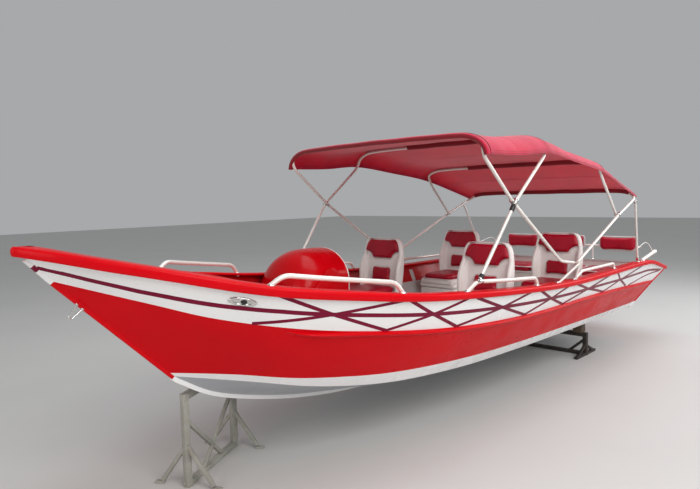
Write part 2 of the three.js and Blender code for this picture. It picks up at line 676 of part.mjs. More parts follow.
// Grab rails on the gunwale. Columns: x, height above the cap's top.
const RAILS = {
  fore: [[2530, -20], [2430, 70], [1680, 70], [1610, -20]],
  middle: [[1020, -20], [880, 70], [30, 66], [0, -20]],
  aft: [[-700, -20], [-900, 62], [-1760, 56], [-1775, -20]],
};
function railPoint(x, up) {
  const { y, z } = sheerAt(x);
  return [x, y - RAIL_IN, z + CAP_THICK + up, 45];
}
function railTube(rows, radius) {
  const points = rows.flatMap(([x, up], k) => {
    if (k !== 1) return [railPoint(x, up)];
    const [nextX, nextUp] = rows[k + 1];
    const mid = [0.25, 0.5, 0.75].map((t) => railPoint(x + (nextX - x) * t, up + (nextUp - up) * t));
    return [railPoint(x, up), ...mid];
  });
  return tube(points, radius, 22, 8);
}

// The pin above the aft rail that two bows are hung on, and the two legs under it
function hingePin(spare) {
  const [from, to] = [PLANE_IN - 36, BRACKET_Y + 11];
  const pin = new THREE.CylinderGeometry(9 + spare, 9 + spare, to - from, 16);
  pin.translate(HINGE_MID[0], (from + to) / 2, HINGE_MID[1]);
  return pin;
}
const BRACKET_FEET = [-750, -370];
const BRACKET_Y = PLANE_IN + 2 * BOW_R + 13;
function bracket() {
  const top = [HINGE_MID[0], BRACKET_Y, HINGE_MID[1]];
  const legs = BRACKET_FEET.map((x) => tube([railPoint(x, -20), top], 11, 1, 8));
  return join(hingePin(0), ...legs);
}

function buildRails() {
  for (const [label, rows] of Object.entries(RAILS)) {
    const rail = railTube(rows, RAIL_R);
    const whole = label === 'aft' ? join(rail, bracket()) : rail;
    const port = trim(whole, belowCap());
    addPiece(`grab_rail_${label}_port`, port, paint.tube);
    addPiece(`grab_rail_${label}_starboard`, mirrored(port), paint.tube);
  }
}

const POLE_R = 12;
const POLE_TOP_Y = PLANE_IN + 2 * BOW_R + GAP * 2 + POLE_R;
// Poles that carry the aft corners of the canopy
function buildPoles() {
  const foot = sheerAt(POLE_FOOT_X);
  const whole = tube([[POLE_FOOT_X, foot.y - RAIL_IN, foot.z], [-2215, POLE_TOP_Y, 1795]], POLE_R, 1, 10);
  const port = trim(whole, belowCap());
  addPiece('aft_pole_port', port, paint.tube);
  addPiece('aft_pole_starboard', mirrored(port), paint.tube);
}

// Trestles: each a frame of square bar with its own braces. x is along the frame.
// Columns: width, bar, place under the hull [x, y], turn about z, how far the feet reach, foot bars or not
const TRESTLES = {
  aft: [1240, 50, [-2150, 0], Math.PI / 2, 260, true, paint.trestleDark],
  fore: [716, 46, [2370, -255], Math.PI + 0.49, 240, false, paint.trestleGrey],
};
// Blocks between the aft beam and the bottom. Columns: place along the beam, width
const BLOCKS = [[-520, 110], [520, 110]];

// Lowest point of the hull above a footprint
function lowestAbove(footprint) {
  const cuts = ['hull_bottom_port', 'hull_bottom_starboard', 'hull_side_starboard', 'keel_bar']
    .map((name) => toSolid(launch.getObjectByName(name).geometry).intersect(toSolid(footprint)))
    .filter((cut) => !cut.isEmpty());
  return Math.min(...cuts.map((cut) => cut.boundingBox().min[2]));
}

function buildTrestles() {
  for (const [label, [width, bar, place, turn, reach, footBars, look]] of Object.entries(TRESTLES)) {
    const put = (geometry) => geometry.rotateZ(turn).translate(place[0], place[1], 0);
    const half = width / 2;
    const height = lowestAbove(put(box(-half, half, -bar / 2, bar / 2, 0, 2000))) - GAP;
    const pieces = [
      box(-half, half, -bar / 2, bar / 2, 0, bar * 0.8),
      box(-half, half, -bar / 2, bar / 2, height - bar, height),
    ];
    for (const end of [-1, 1]) {
      const x = end * (half - bar / 2);
      pieces.push(box(x - bar / 2, x + bar / 2, -bar / 2, bar / 2, 0, height - 1));
      pieces.push(strut([x, height * 0.72], [x - end * height * 0.75, bar * 0.4], bar * 0.6));
      for (const side of [-1, 1]) {
        const brace = strut([0, height * 0.45], [side * (reach - bar), bar * 0.45], bar * 0.6);
        pieces.push(brace.rotateZ(Math.PI / 2).translate(x, 0, 0));
      }
      if (footBars) pieces.push(box(x - bar * 0.4, x + bar * 0.4, -reach, reach, 0, bar * 0.6));
    }
    if (label === 'aft') {
      for (const [x, wide] of BLOCKS) {
        const under = lowestAbove(put(box(x - wide / 2, x + wide / 2, -60, 60, 0, 2000))) - GAP;
        pieces.push(box(x - wide / 2, x + wide / 2, -60, 60, height - 1, under));
      }
    }
    addPiece(`trestle_${label}`, put(join(...pieces)), look);
  }
}

buildHull();
buildTransom();
buildGunwales();
buildStrakes();
buildDecks();
buildConsole();
buildWheel();
for (const [row, x] of SEAT_ROWS.entries()) {
  buildSeat(`${row === 0 ? 'fore' : 'aft'}_port`, x, SEAT_Y);
  buildSeat(`${row === 0 ? 'fore' : 'aft'}_starboard`, x, -SEAT_Y);
}
buildBench();
buildCanopy();
buildCanopyFrame();
buildRails();
buildPoles();
buildTrestles();

export default launch;
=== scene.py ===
from math import atan, ceil, copysign, cos, pi, radians, sin

import bmesh
import bpy
import numpy as np
from mathutils import Matrix, Vector
from numpy import linspace
from numpy.linalg import norm


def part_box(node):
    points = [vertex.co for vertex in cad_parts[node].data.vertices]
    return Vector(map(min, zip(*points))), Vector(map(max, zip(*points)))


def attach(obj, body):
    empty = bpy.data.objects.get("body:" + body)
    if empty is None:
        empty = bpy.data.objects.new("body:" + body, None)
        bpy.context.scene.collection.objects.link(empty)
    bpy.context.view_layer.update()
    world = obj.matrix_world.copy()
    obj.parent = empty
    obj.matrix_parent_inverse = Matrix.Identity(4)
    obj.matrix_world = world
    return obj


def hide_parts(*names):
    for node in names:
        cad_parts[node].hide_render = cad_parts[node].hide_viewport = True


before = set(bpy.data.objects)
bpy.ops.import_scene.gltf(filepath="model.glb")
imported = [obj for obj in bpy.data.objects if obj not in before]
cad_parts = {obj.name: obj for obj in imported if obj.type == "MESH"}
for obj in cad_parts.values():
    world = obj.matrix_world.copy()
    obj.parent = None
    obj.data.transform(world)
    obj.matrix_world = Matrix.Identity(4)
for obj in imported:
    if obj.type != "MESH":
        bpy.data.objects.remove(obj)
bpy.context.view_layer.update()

HULL = "launch"
MM = 0.001
FORE, PORT, UP = (1, 0, 0), (0, 1, 0), (0, 0, 1)
KEEL_LIFT = 270          # underside of the keel above the floor, mm
THIRD = 2.094            # a third of a turn

# ---------------------------------------------------------------- camera
# Place and direction fitted to the photograph, from the lines of the hull and the seats
EYE = Vector((4.6304, 3.3722, 1.9045))
YAW, PITCH, ROLL, LENS = -2.37154, -0.0792347, -0.0237945, 30.381


def add_object(name, data):
    made = bpy.data.objects.new(name, data)
    bpy.context.scene.collection.objects.link(made)
    return made


def make_camera():
    view = Vector((cos(PITCH) * cos(YAW), cos(PITCH) * sin(YAW), sin(PITCH)))
    flat_right = view.cross(Vector(UP)).normalized()
    flat_up = flat_right.cross(view)
    right = cos(ROLL) * flat_right + sin(ROLL) * flat_up
    up = -sin(ROLL) * flat_right + cos(ROLL) * flat_up
    data = bpy.data.cameras.new("camera")
    data.lens, data.sensor_width = LENS, 36
    data.clip_start, data.clip_end = 0.05, 200
    camera = add_object("camera", data)
    turn = Matrix((right, up, -view)).transposed()
    camera.matrix_world = Matrix.Translation(EYE) @ turn.to_4x4()
    bpy.context.scene.camera = camera


# ---------------------------------------------------------------- materials
def srgb(code):
    values = [int(code[i:i + 2], 16) / 255 for i in (0, 2, 4)]
    return [v / 12.92 if v <= 0.04045 else ((v + 0.055) / 1.055) ** 2.4 for v in values] + [1.0]


class Look:
    """A node material with a Principled shader, built up by small steps."""

    def __init__(self, name, color, rough, **sockets):
        self.mat = bpy.data.materials.new(name)
        self.mat.use_nodes = True
        self.tree = self.mat.node_tree
        self.shader = self.tree.nodes["Principled BSDF"]
        self.color = self.mat.diffuse_color = srgb(color)
        sockets.update(Base_Color=self.color, Roughness=rough)
        for key, value in sockets.items():
            self.shader.inputs[key.replace("_", " ")].default_value = value
        self.coords = self.node("TexCoord").outputs["Object"]
        self.normal = {}

    def node(self, kind, sockets=(), **values):
        """A new node. Its sockets take a number, a colour or another node's output."""
        made = self.tree.nodes.new("ShaderNode" + kind)
        for key, value in values.items():
            setattr(made, key, value)
        for key, value in dict(sockets).items():
            if isinstance(value, bpy.types.NodeSocket):
                self.tree.links.new(value, made.inputs[key])
            else:
                made.inputs[key].default_value = value
        return made

    def feed(self, output, socket):
        self.tree.links.new(output, self.shader.inputs[socket])
        return output

    def noise(self, scale, detail, stretch=None):
        source = self.coords
        if stretch:
            source = self.node("Mapping", {"Scale": stretch, "Vector": source}).outputs["Vector"]
        sockets = {"Scale": scale, "Detail": detail, "Vector": source}
        return self.node("TexNoise", sockets).outputs["Fac"]

    def range(self, value, low, high, out_low, out_high):
        return self.node("MapRange", {"Value": value, "From Min": low, "From Max": high,
                                      "To Min": out_low, "To Max": out_high}).outputs["Result"]

    def tint(self, mask, color):
        """Mixes another colour in where the mask is high."""
        mix = self.node("Mix", {0: mask, 6: self.color, 7: srgb(color)}, data_type="RGBA")
        self.color = self.feed(mix.outputs[2], "Base Color")

    def stain(self, color, scale, detail, low, high, amount, stretch=None):
        """Patches of another colour where a noise is high."""
        self.tint(self.range(self.noise(scale, detail, stretch), low, high, 0.0, amount), color)

    def gloss(self, scale, detail, low, high):
        self.feed(self.range(self.noise(scale, detail), 0.3, 0.7, low, high), "Roughness")

    def bump(self, height, strength, distance):
        sockets = {"Strength": strength, "Distance": distance, "Height": height, **self.normal}
        normal = self.node("Bump", sockets).outputs["Normal"]
        self.normal = {"Normal": self.feed(normal, "Normal")}

    def grain(self, scale, detail, strength, distance):
        """A bump from a noise. Gives the material, because it is the last step."""
        self.bump(self.noise(scale, detail), strength, distance)
        return self.mat

    def weave(self, pitch, strength, distance):
        """Over and under threads, from two crossed waves."""
        sockets = {"Scale": 0.314 / pitch, "Distortion": 0.6, "Vector": self.coords}
        waves = {k: self.node("TexWave", sockets, bands_direction=axis).outputs["Fac"]
                 for k, axis in enumerate("XY")}
        self.bump(self.node("Math", waves, operation="MULTIPLY").outputs[0], strength, distance)

    def below(self, height):
        """A mask that is 1 under a height above the floor."""
        z = self.node("SeparateXYZ", {"Vector": self.coords}).outputs["Z"]
        return self.range(z, height - 0.001, height + 0.001, 1.0, 0.0)

    def edge_wear(self, color):
        rounded_normal = self.node("Bevel", {"Radius": 0.004}, samples=4).outputs["Normal"]
        normal = self.node("NewGeometry").outputs["Normal"]
        dot = self.node("VectorMath", {0: rounded_normal, 1: normal}, operation="DOT_PRODUCT")
        self.tint(self.range(dot.outputs["Value"], 0.97, 0.8, 0.0, 0.5), color)


def paint(name, color, dark, rough, coat, specular=0.3, foot=None):
    look = Look(name, color, rough, Coat_Weight=coat, Coat_Roughness=0.08,
                Specular_IOR_Level=specular)
    look.stain(dark, 1.3, 4, 0.42, 0.72, 0.3)
    look.stain(dark, 7, 3, 0.45, 0.85, 0.15, (0.2, 1, 1.2))
    if foot:
        look.tint(look.below(foot), "f6f6f6")
    look.gloss(6, 5, rough * 0.8, rough * 1.4)
    look.grain(2.2, 2, 0.10, 0.002)
    return look.grain(60, 2, 0.04, 0.0004)


def fabric(name, color, dark, pitch, **more):
    look = Look(name, color, 0.85, Sheen_Weight=0.35, Sheen_Roughness=0.5,
                Specular_IOR_Level=0.25, **more)
    look.stain(dark, 3, 5, 0.4, 0.75, 0.45)
    look.weave(pitch, 0.35, 0.0006)
    return look.grain(14, 4, 0.2, 0.004)


def vinyl(name, color, dark):
    look = Look(name, color, 0.42, Coat_Weight=0.08, Coat_Roughness=0.3, Specular_IOR_Level=0.32)
    look.stain(dark, 7, 5, 0.42, 0.75, 0.5)
    look.gloss(12, 4, 0.34, 0.52)
    cells = look.node("TexVoronoi", {"Scale": 420, "Vector": look.coords},
                      feature="DISTANCE_TO_EDGE")
    look.bump(cells.outputs["Distance"], 0.25, 0.0006)
    return look.grain(18, 4, 0.18, 0.003)


def plastic(name, color, dark, rough):
    look = Look(name, color, rough, Specular_IOR_Level=0.5, Coat_Weight=0.1)
    look.stain(dark, 4, 5, 0.45, 0.8, 0.4)
    look.gloss(9, 4, rough * 0.8, rough * 1.3)
    return look.grain(160, 3, 0.12, 0.0005)


def metal(name, color, dark, rough, metallic):
    look = Look(name, color, rough, Metallic=metallic)
    look.stain(dark, 6, 4, 0.5, 0.8, 0.35)
    look.gloss(9, 3, rough * 0.85, rough * 1.25)
    return look.grain(40, 2, 0.05, 0.0003)


def worn_paint(name, color, dark, rust, spots=0.8):
    look = Look(name, color, 0.6, Metallic=0.0)
    look.stain(dark, 8, 6, 0.4, 0.7, 0.6)
    look.stain(rust, 26, 8, 0.58, 0.68, spots)
    look.edge_wear("8d8882")
    return look.grain(60, 5, 0.35, 0.0015)


def sole_plate():
    look = Look("sole_plate", "b9bab7", 0.55, Metallic=0.2)
    look.stain("7f807c", 3, 6, 0.4, 0.75, 0.5)
    cells = look.node("TexVoronoi", {"Scale": 34, "Randomness": 0.1, "Vector": look.coords})
    look.bump(look.range(cells.outputs["Distance"], 0.25, 0.4, 1.0, 0.0), 0.5, 0.0015)
    return look.mat


# Columns of paint: colour, dark patches, roughness, coat, specular
HULL_RED = "d60413", "b00411", 0.32, 0.03, 0.09
RED = paint("red_paint", *HULL_RED)
TRANSOM = paint("transom_paint", *HULL_RED, foot=0.497)
WHITE = paint("white_paint", "f6f6f6", "dfe1e4", 0.24, 0.3)
GREY = paint("bottom_grey", "b4b8bd", "8f9398", 0.42, 0.1)
STRIPE = paint("stripe_maroon", "7d0f33", "5c0a26", 0.28, 0.05, 0.12)
DOME = paint("dome_red", "c8030f", "94020a", 0.24, 0.10, 0.12)
INSIDE_RED = paint("inside_red", "b8060f", "8a0510", 0.4, 0.1)
INSIDE_GREY = paint("inside_grey", "c3c5c4", "9fa2a1", 0.45, 0.1)
INSIDE_WHITE = paint("inside_white", "d9d6d2", "b7b2ae", 0.4, 0.15)
DASH = plastic("dash_red", "7d0610", "4d040a", 0.35)
SHELL = plastic("seat_shell", "f3f0ed", "d8d3cf", 0.34)
KNUCKLE = plastic("black_fitting", "1b1b1d", "0c0c0d", 0.4)
RUBBER = plastic("wheel_grip", "17171a", "0b0b0c", 0.5)
VINYL = vinyl("vinyl_crimson", "ae0427", "82031b")
PIPING = vinyl("vinyl_white", "ece8e6", "cfc9c6")
# Thin cloth that the light from above comes through
CANVAS = fabric("canopy_canvas", "c4113d", "9c0a2d", 0.0016, Subsurface_Weight=0.45,
                Subsurface_Radius=(1.0, 0.10, 0.16), Subsurface_Scale=0.02)
# A darker copy of the canvas: painted shade under the front roll and on the seams and pockets below
# the cloth
CANVAS_SHADED = fabric("canopy_canvas_painted_shade", "8c0a1e", "650615", 0.0016)
THREAD = fabric("canopy_thread", "5f0713", "45040d", 0.0012)
TUBE = metal("tube_alloy", "f1eee8", "d9d6d0", 0.3, 0.35)
BRIGHT = metal("polished_steel", "dcdcda", "9a9a98", 0.12, 1.0)
SOLE = sole_plate()
TRESTLE_DARK = worn_paint("trestle_dark_paint", "2c2420", "171210", "4a2a18")
TRESTLE_GREY = worn_paint("trestle_grey_paint", "a3a299", "83827a", "7d6a54", 0.35)
WOOD = worn_paint("chock_wood", "5d4a38", "3c2f24", "221a14")


# ---------------------------------------------------------------- meshes
def unit(v):
    """A vector, or each row of an array of them, made one long."""
    return v / norm(v, axis=-1, keepdims=True)


def around(count):
    return [2 * pi * k / count for k in range(count)]


def line(a, b, shares=(0, 0.5, 1)):
    return [a + (b - a) * t for t in shares]


def grid_faces(rows, cols, wrap=False, ring=False):
    """Quads of a grid. wrap joins its last column to the first, ring its last row."""
    faces = []
    for i in range(rows if ring else rows - 1):
        a, b = i * cols, (i + 1) % rows * cols
        for j in range(cols if wrap else cols - 1):
            k = (j + 1) % cols
            faces.append((a + j, a + k, b + k, b + j))
    return faces


def closed_loft(rings):
    """Rings of equal length, closed at both ends."""
    rows, cols = len(rings), len(rings[0])
    faces = grid_faces(rows, cols, wrap=True)
    faces += [tuple(range(cols - 1, -1, -1)), tuple(range((rows - 1) * cols, rows * cols))]
    return [tuple(p) for ring in rings for p in ring], faces


def shell_grid(outer, inner):
    """Closed body between two grids of points of equal shape."""
    O, I = np.asarray(outer), np.asarray(inner)
    rows, cols = O.shape[:2]
    half = rows * cols
    faces = grid_faces(rows, cols)
    faces += [tuple(half + k for k in reversed(f)) for f in faces]
    edge = list(range(cols)) + [i * cols + cols - 1 for i in range(1, rows)]
    edge += [(rows - 1) * cols + j for j in range(cols - 2, -1, -1)]
    edge += [i * cols for i in range(rows - 2, 0, -1)]
    faces += [(b, a, half + a, half + b) for a, b in zip(edge, edge[1:] + edge[:1])]
    return [*O.reshape(-1, 3), *I.reshape(-1, 3)], faces


def pipe(points, radius, sides=16):
    """A round bar along points, with a section that is carried along without twist."""
    P = np.asarray(points, float)
    T = unit(np.gradient(P, axis=0))
    a = np.cross(T[0], UP)
    if norm(a) < 1e-3:
        a = np.cross(T[0], PORT)
    rings = []
    for p, t in zip(P, T):
        a = unit(a - t * a.dot(t))
        b = np.cross(t, a)
        rings.append([p + radius * (cos(k) * a + sin(k) * b) for k in around(sides)])
    return closed_loft(rings)


def closed_pipe(points, radius, sides=10):
    """A round bar along a flat closed loop."""
    P = np.asarray(points)
    T = unit(np.roll(P, -1, axis=0) - np.roll(P, 1, axis=0))
    A = unit(np.cross(T, unit(np.cross(P[1] - P[0], P[len(P) // 3] - P[0]))))
    verts = [p + radius * (cos(k) * a + sin(k) * b)
             for p, a, b in zip(P, A, np.cross(A, T)) for k in around(sides)]
    return verts, grid_faces(len(P), sides, wrap=True, ring=True)


def turned(profile, origin, axis, sides=20):
    """A turned body. The profile's rows are distance along the axis and radius, in metres."""
    n = Vector(axis).normalized()
    a = n.orthogonal().normalized()
    b = n.cross(a)
    return closed_loft([[Vector(origin) + n * along + (a * cos(t) + b * sin(t)) * radius
                         for t in around(sides)] for along, radius in profile])


def soft_box(lo, hi, bevel, segments=3):
    """A box with rounded edges, in metres."""
    work = bmesh.new()
    bmesh.ops.create_cube(work, size=1)
    for v in work.verts:
        v.co = [c * (h - l) + (h + l) / 2 for c, l, h in zip(v.co, lo, hi)]
    bmesh.ops.bevel(work, geom=list(work.edges), offset=bevel, segments=segments, profile=0.5,
                    affect="EDGES")
    work.verts.index_update()
    made = [tuple(v.co) for v in work.verts], [[v.index for v in f.verts] for f in work.faces]
    work.free()
    return made


def strip(P, N, width, section, even=False):
    """A closed strip along points P with outward normals N. section: shares of width, lifts."""
    P, N = np.array(P), np.array(N)
    C = np.cross(N, unit(np.gradient(P, axis=0)))
    C = unit(C) if even else C
    return closed_loft([[p + c * width * s + n * lift for s, lift in section]
                        for p, n, c in zip(P, N, C)])


class Bag:
    """Collects several closed bodies into one mesh. which gives each face's material number."""

    def __init__(self):
        self.verts, self.faces, self.which = [], [], []

    def add(self, verts, faces, mat=0):
        start = len(self.verts)
        self.verts += [tuple(map(float, v)) for v in verts]
        self.faces += [tuple(start + i for i in f) for f in faces]
        self.which += [mat] * len(faces)
        return self

    def loft(self, rings, mat=0):
        return self.add(*closed_loft(rings), mat)

    def pipe(self, points, radius, sides=16, mat=0):
        return self.add(*pipe(points, radius, sides), mat)

    def turned(self, profile, origin, axis, sides=20, mat=0):
        return self.add(*turned(profile, origin, axis, sides), mat)

    def box(self, lo, hi, bevel, segments=3, mat=0):
        return self.add(*soft_box(lo, hi, bevel, segments), mat)

    def mirrored(self):
        other = Bag().add([(x, -y, z) for x, y, z in self.verts],
                          [tuple(reversed(f)) for f in self.faces])
        other.which = list(self.which)
        return other

    def both_sides(self):
        other = self.mirrored()
        return self.add(other.verts, other.faces)

    def moved(self, dx, dy, dz):
        other = Bag().add([(x + dx, y + dy, z + dz) for x, y, z in self.verts], self.faces)
        other.which = list(self.which)
        return other

    def make(self, name, slot, mats, node=None, body=HULL, smooth=38):
        """Makes one object that rides on a body and takes the place of a CAD node, if any."""
        mesh = bpy.data.meshes.new(name)
        mesh.from_pydata(self.verts, [], self.faces)
        mesh.validate()
        made = add_object(name, mesh)
        for mat in (mats if isinstance(mats, list) else [mats]):
            mesh.materials.append(mat)
        mesh.polygons.foreach_set("material_index", np.array(self.which, np.int32))
        work = bmesh.new()
        work.from_mesh(mesh)
        bmesh.ops.remove_doubles(work, verts=work.verts, dist=1e-6)
        bmesh.ops.recalc_face_normals(work, faces=work.faces)
        work.to_mesh(mesh)
        work.free()
        mesh.shade_smooth()
        mesh.set_sharp_from_angle(angle=radians(smooth))
        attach(made, body)
        if node:
            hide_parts(node)
        return made


def both(*parts):
    """Makes parts to port and, mirrored, to starboard. Each: bag, name, slot (not used), materials,
    node.
    """
    for side in ("port", "starboard"):
        for bag, name, slot, mats, node in parts:
            bag = bag if side == "port" else bag.mirrored()
            bag.make(f"{name}_{side}", slot, mats, node and f"{node}_{side}")


# ---------------------------------------------------------------- paths
def corner(before, p, after, r, samples):
    """A corner at p eased by a curve that leaves both sides at r from it."""
    back, on = before - p, after - p
    cut = min(r, norm(back) * 0.48, norm(on) * 0.48)
    enter, leave = p + unit(back) * cut, p + unit(on) * cut
    return [enter * (1 - t) ** 2 + p * 2 * t * (1 - t) + leave * t * t
            for t in linspace(0, 1, samples)]


def rounded(points, samples=9, straight=0.05):
    """Points with a corner radius each, as [x, y, z, r] in mm, as a fine path in metres."""
    P = [np.array(p[:3], float) * MM for p in points]
    path = []
    for i in range(1, len(P) - 1):
        path += corner(P[i - 1], P[i], P[i + 1], points[i][3] * MM, samples)
    fine = [P[0]]
    for q in path + [P[-1]]:
        origin, gap = fine[-1], norm(q - fine[-1])
        if gap >= 1e-5:
            steps = ceil(gap / straight)
            fine += [origin + (q - origin) * (k / steps) for k in range(1, steps + 1)]
    return np.array(fine)


def rounded_loop(corners, samples=6, straight=0.02):
    """Closed loop of (a, b) whose corners (a, b, r) are rounded, in metres."""
    C = [np.array(c[:2], float) for c in corners]
    loop = []
    for i, c in enumerate(corners):
        loop += corner(C[i - 1], C[i], C[(i + 1) % len(C)], c[2], samples)
    fine = []
    for a, b in zip(loop, loop[1:] + loop[:1]):
        n = max(1, int(norm(b - a) / straight))
        fine += [a + (b - a) * k / n for k in range(n)]
    return np.array(fine)


def spline(points, count):
    """Centripetal curve through the points, in count equal steps of length, in metres."""
    P = np.asarray(points, float) * MM
    last = len(P) - 1
    P = np.array([2 * P[0] - P[1], *P, 2 * P[-1] - P[-2]])
    dense = []
    for q in last * linspace(0, 1, 3001):
        i = min(int(q), last - 1)
        w = q - i
        p0, p1, p2, p3 = P[i:i + 4]
        d0, d1, d2 = (max(1e-4, float(np.sum((b - a) ** 2)) ** 0.25)
                      for a, b in ((p0, p1), (p1, p2), (p2, p3)))
        t1 = ((p1 - p0) / d0 - (p2 - p0) / (d0 + d1) + (p2 - p1) / d1) * d1
        t2 = ((p2 - p1) / d1 - (p3 - p1) / (d1 + d2) + (p3 - p2) / d2) * d1
        dense.append(p1 + t1 * w + (-3 * p1 + 3 * p2 - 2 * t1 - t2) * w * w
                     + (2 * p1 - 2 * p2 + t1 + t2) * w ** 3)
    return even_steps(np.array(dense), count)


def even_steps(P, count):
    """The path P cut into count equal steps of length."""
    run = np.r_[0, np.cumsum(norm(np.diff(P, axis=0), axis=1))]
    at = linspace(0, run[-1], count + 1)
    return np.stack([np.interp(at, run, P[:, k]) for k in range(P.shape[1])], axis=1)


def soften(path, sigma=0.022, step=0.008):
    """Points along a path with its corners eased, closer together where it bends."""
    P = np.asarray(path)
    length = np.cumsum(norm(np.diff(P, axis=0), axis=1))[-1]
    Q = even_steps(P, max(4, int(length / step)) - 1)
    reach = int(3 * sigma / step)
    weight = np.exp(-0.5 * (np.arange(-reach, reach + 1) * step / sigma) ** 2)
    weight /= weight.sum()
    pad = np.concatenate([2 * Q[0] - Q[reach:0:-1], Q, 2 * Q[-1] - Q[-2:-reach - 2:-1]])
    R = np.stack([np.convolve(pad[:, k], weight, "valid") for k in range(3)], axis=1)
    R[0], R[-1] = Q[0], Q[-1]
    keep = [0]
    for k in range(1, len(R) - 1):
        a, b = R[k] - R[keep[-1]], R[k + 1] - R[k]
        bend = norm(np.cross(a, b)) / (norm(a) * norm(b))
        if bend > 0.012 or norm(a) > 0.12:
            keep.append(k)
    return R[keep + [len(R) - 1]]


def smoothstep(x, a, b):
    t = min(1.0, max(0.0, (x - a) / (b - a)))
    return t * t * (3 - 2 * t)


# ---------------------------------------------------------------- hull lines, as in the CAD source
SHEER_END, RAKE = (-3675, 640), 1.04


def transom_x(height):
    return SHEER_END[0] + (SHEER_END[1] - height) * RAKE


# Columns: x, half breadth, height above the keel's underside
LINES = {
    "keel": [(transom_x(36), 18, 36), (-1500, 18, 30), (300, 18, 34), (1010, 18, 66),
             (1490, 18, 112), (2000, 18, 208), (2510, 18, 366), (2760, 18, 512)],
    "chine": [(transom_x(175), 735, 175), (-1340, 790, 215), (-100, 775, 235), (670, 712, 240),
              (1420, 590, 275), (1980, 430, 355), (2400, 250, 455), (2790, 18, 536)],
    "band": [(transom_x(485), 905, 485), (-1470, 1010, 595), (140, 1020, 625), (1050, 955, 675),
             (1700, 835, 745), (2260, 662, 832), (2760, 440, 955), (3060, 282, 1065),
             (3475, 18, 1220)],
    "sheer": [(transom_x(640), 1000, 640), (-3020, 1045, 772), (-2700, 1062, 792),
              (-570, 1108, 812), (370, 1102, 866), (970, 1062, 912), (1440, 1006, 955),
              (1960, 892, 1026), (2530, 690, 1118), (3120, 400, 1270), (3500, 168, 1368),
              (3640, 18, 1402)],
}
STEPS = 180
LINE = {name: spline([(x, y, z + KEEL_LIFT) for x, y, z in rows], STEPS)
        for name, rows in LINES.items()}
# Lower line, upper line, bulge
PANELS = {"bottom": ("keel", "chine", 0.003), "side": ("chine", "band", 0.010),
          "band": ("band", "sheer", 0.004)}
WALL_STEM, WALL = 9, 24  # thickness of the plating at the stem and elsewhere, mm
LINING = 0.026           # from the outer lines to the inside of the hull


def at_u(name, u):
    """Point of a line at u, from 0 at the stern to 1 at the stem."""
    q = np.clip(u, 0, 1) * STEPS
    i = int(min(q, STEPS - 1))
    return LINE[name][i] + (LINE[name][i + 1] - LINE[name][i]) * (q - i)


def on_panel(panel, u, v):
    """Point and outward normal of a panel, with v from 0 on its lower line to 1 on its upper."""
    foot, head, bulge = PANELS[panel]
    low, high = at_u(foot, u), at_u(head, u)
    normal = np.cross(high - low, at_u(foot, min(1, u + 0.004)) - at_u(foot, max(0, u - 0.004)))
    normal /= max(1e-9, norm(normal))
    fade = min(1.0, (1 - u) / 0.12) * min(1.0, u / 0.03)
    return low + (high - low) * v + normal * bulge * 4 * v * (1 - v) * fade, normal


def sheer_at(x):
    """Point of the sheer at x, in mm."""
    S = LINE["sheer"] / MM
    return [np.interp(x, S[:, 0], S[:, k]) for k in range(3)]


def inner_half(x, z):
    """Half breadth of the hull's inside at a place, in metres."""
    for low, high, _ in PANELS.values():
        a, b = ([np.interp(x, LINE[n][:, 0], LINE[n][:, k]) for k in (1, 2)] for n in (low, high))
        if z < a[1]:
            return 0.0
        if z <= b[1]:
            share = (z - a[1]) / max(1e-6, b[1] - a[1])
            return max(0.0, float(a[0] + (b[0] - a[0]) * share) - LINING)
    return float(b[0]) - LINING


def off_centre(p, least):
    """Keeps a point of the port side clear of the middle plane."""
    return np.array([p[0], max(p[1], least), p[2]])


# ---------------------------------------------------------------- plating and paint lines
# Height of the white boot stripe as a part of the topside. Columns: u, v
BOOT = [(0.0, 0.17), (0.2, 0.20), (0.45, 0.235), (0.62, 0.235), (0.8, 0.19), (0.93, 0.10),
        (1.0, 0.04)]
# Crossings of the maroon lattice on the white band, bow to stern. Columns: u and v of the
# crossing, u where its arms meet the top fore, foot fore, top aft and foot aft
LATTICE = [
    (0.774, 0.46, 0.822, 0.848, 0.701, 0.720),
    (0.665, 0.48, 0.695, 0.720, 0.618, 0.629),
    (0.557, 0.48, 0.606, 0.629, 0.505, 0.504),
    (0.450, 0.48, 0.484, 0.504, 0.409, 0.407),
    (0.339, 0.45, 0.389, 0.407, 0.271, 0.269),
    (0.215, 0.44, 0.247, 0.269, 0.130, 0.163),
]
ARM_TOP, ARM_FOOT = 0.90, 0.02
MID_STRIPE = [(1.0, 0.47), (0.965, 0.38), (0.931, 0.34), (0.87, 0.39), (0.82, 0.45),
              (0.774, 0.46), (0.665, 0.48), (0.557, 0.48), (0.45, 0.48), (0.339, 0.45),
              (0.215, 0.45), (0.11, 0.55), (0.01, 0.76)]


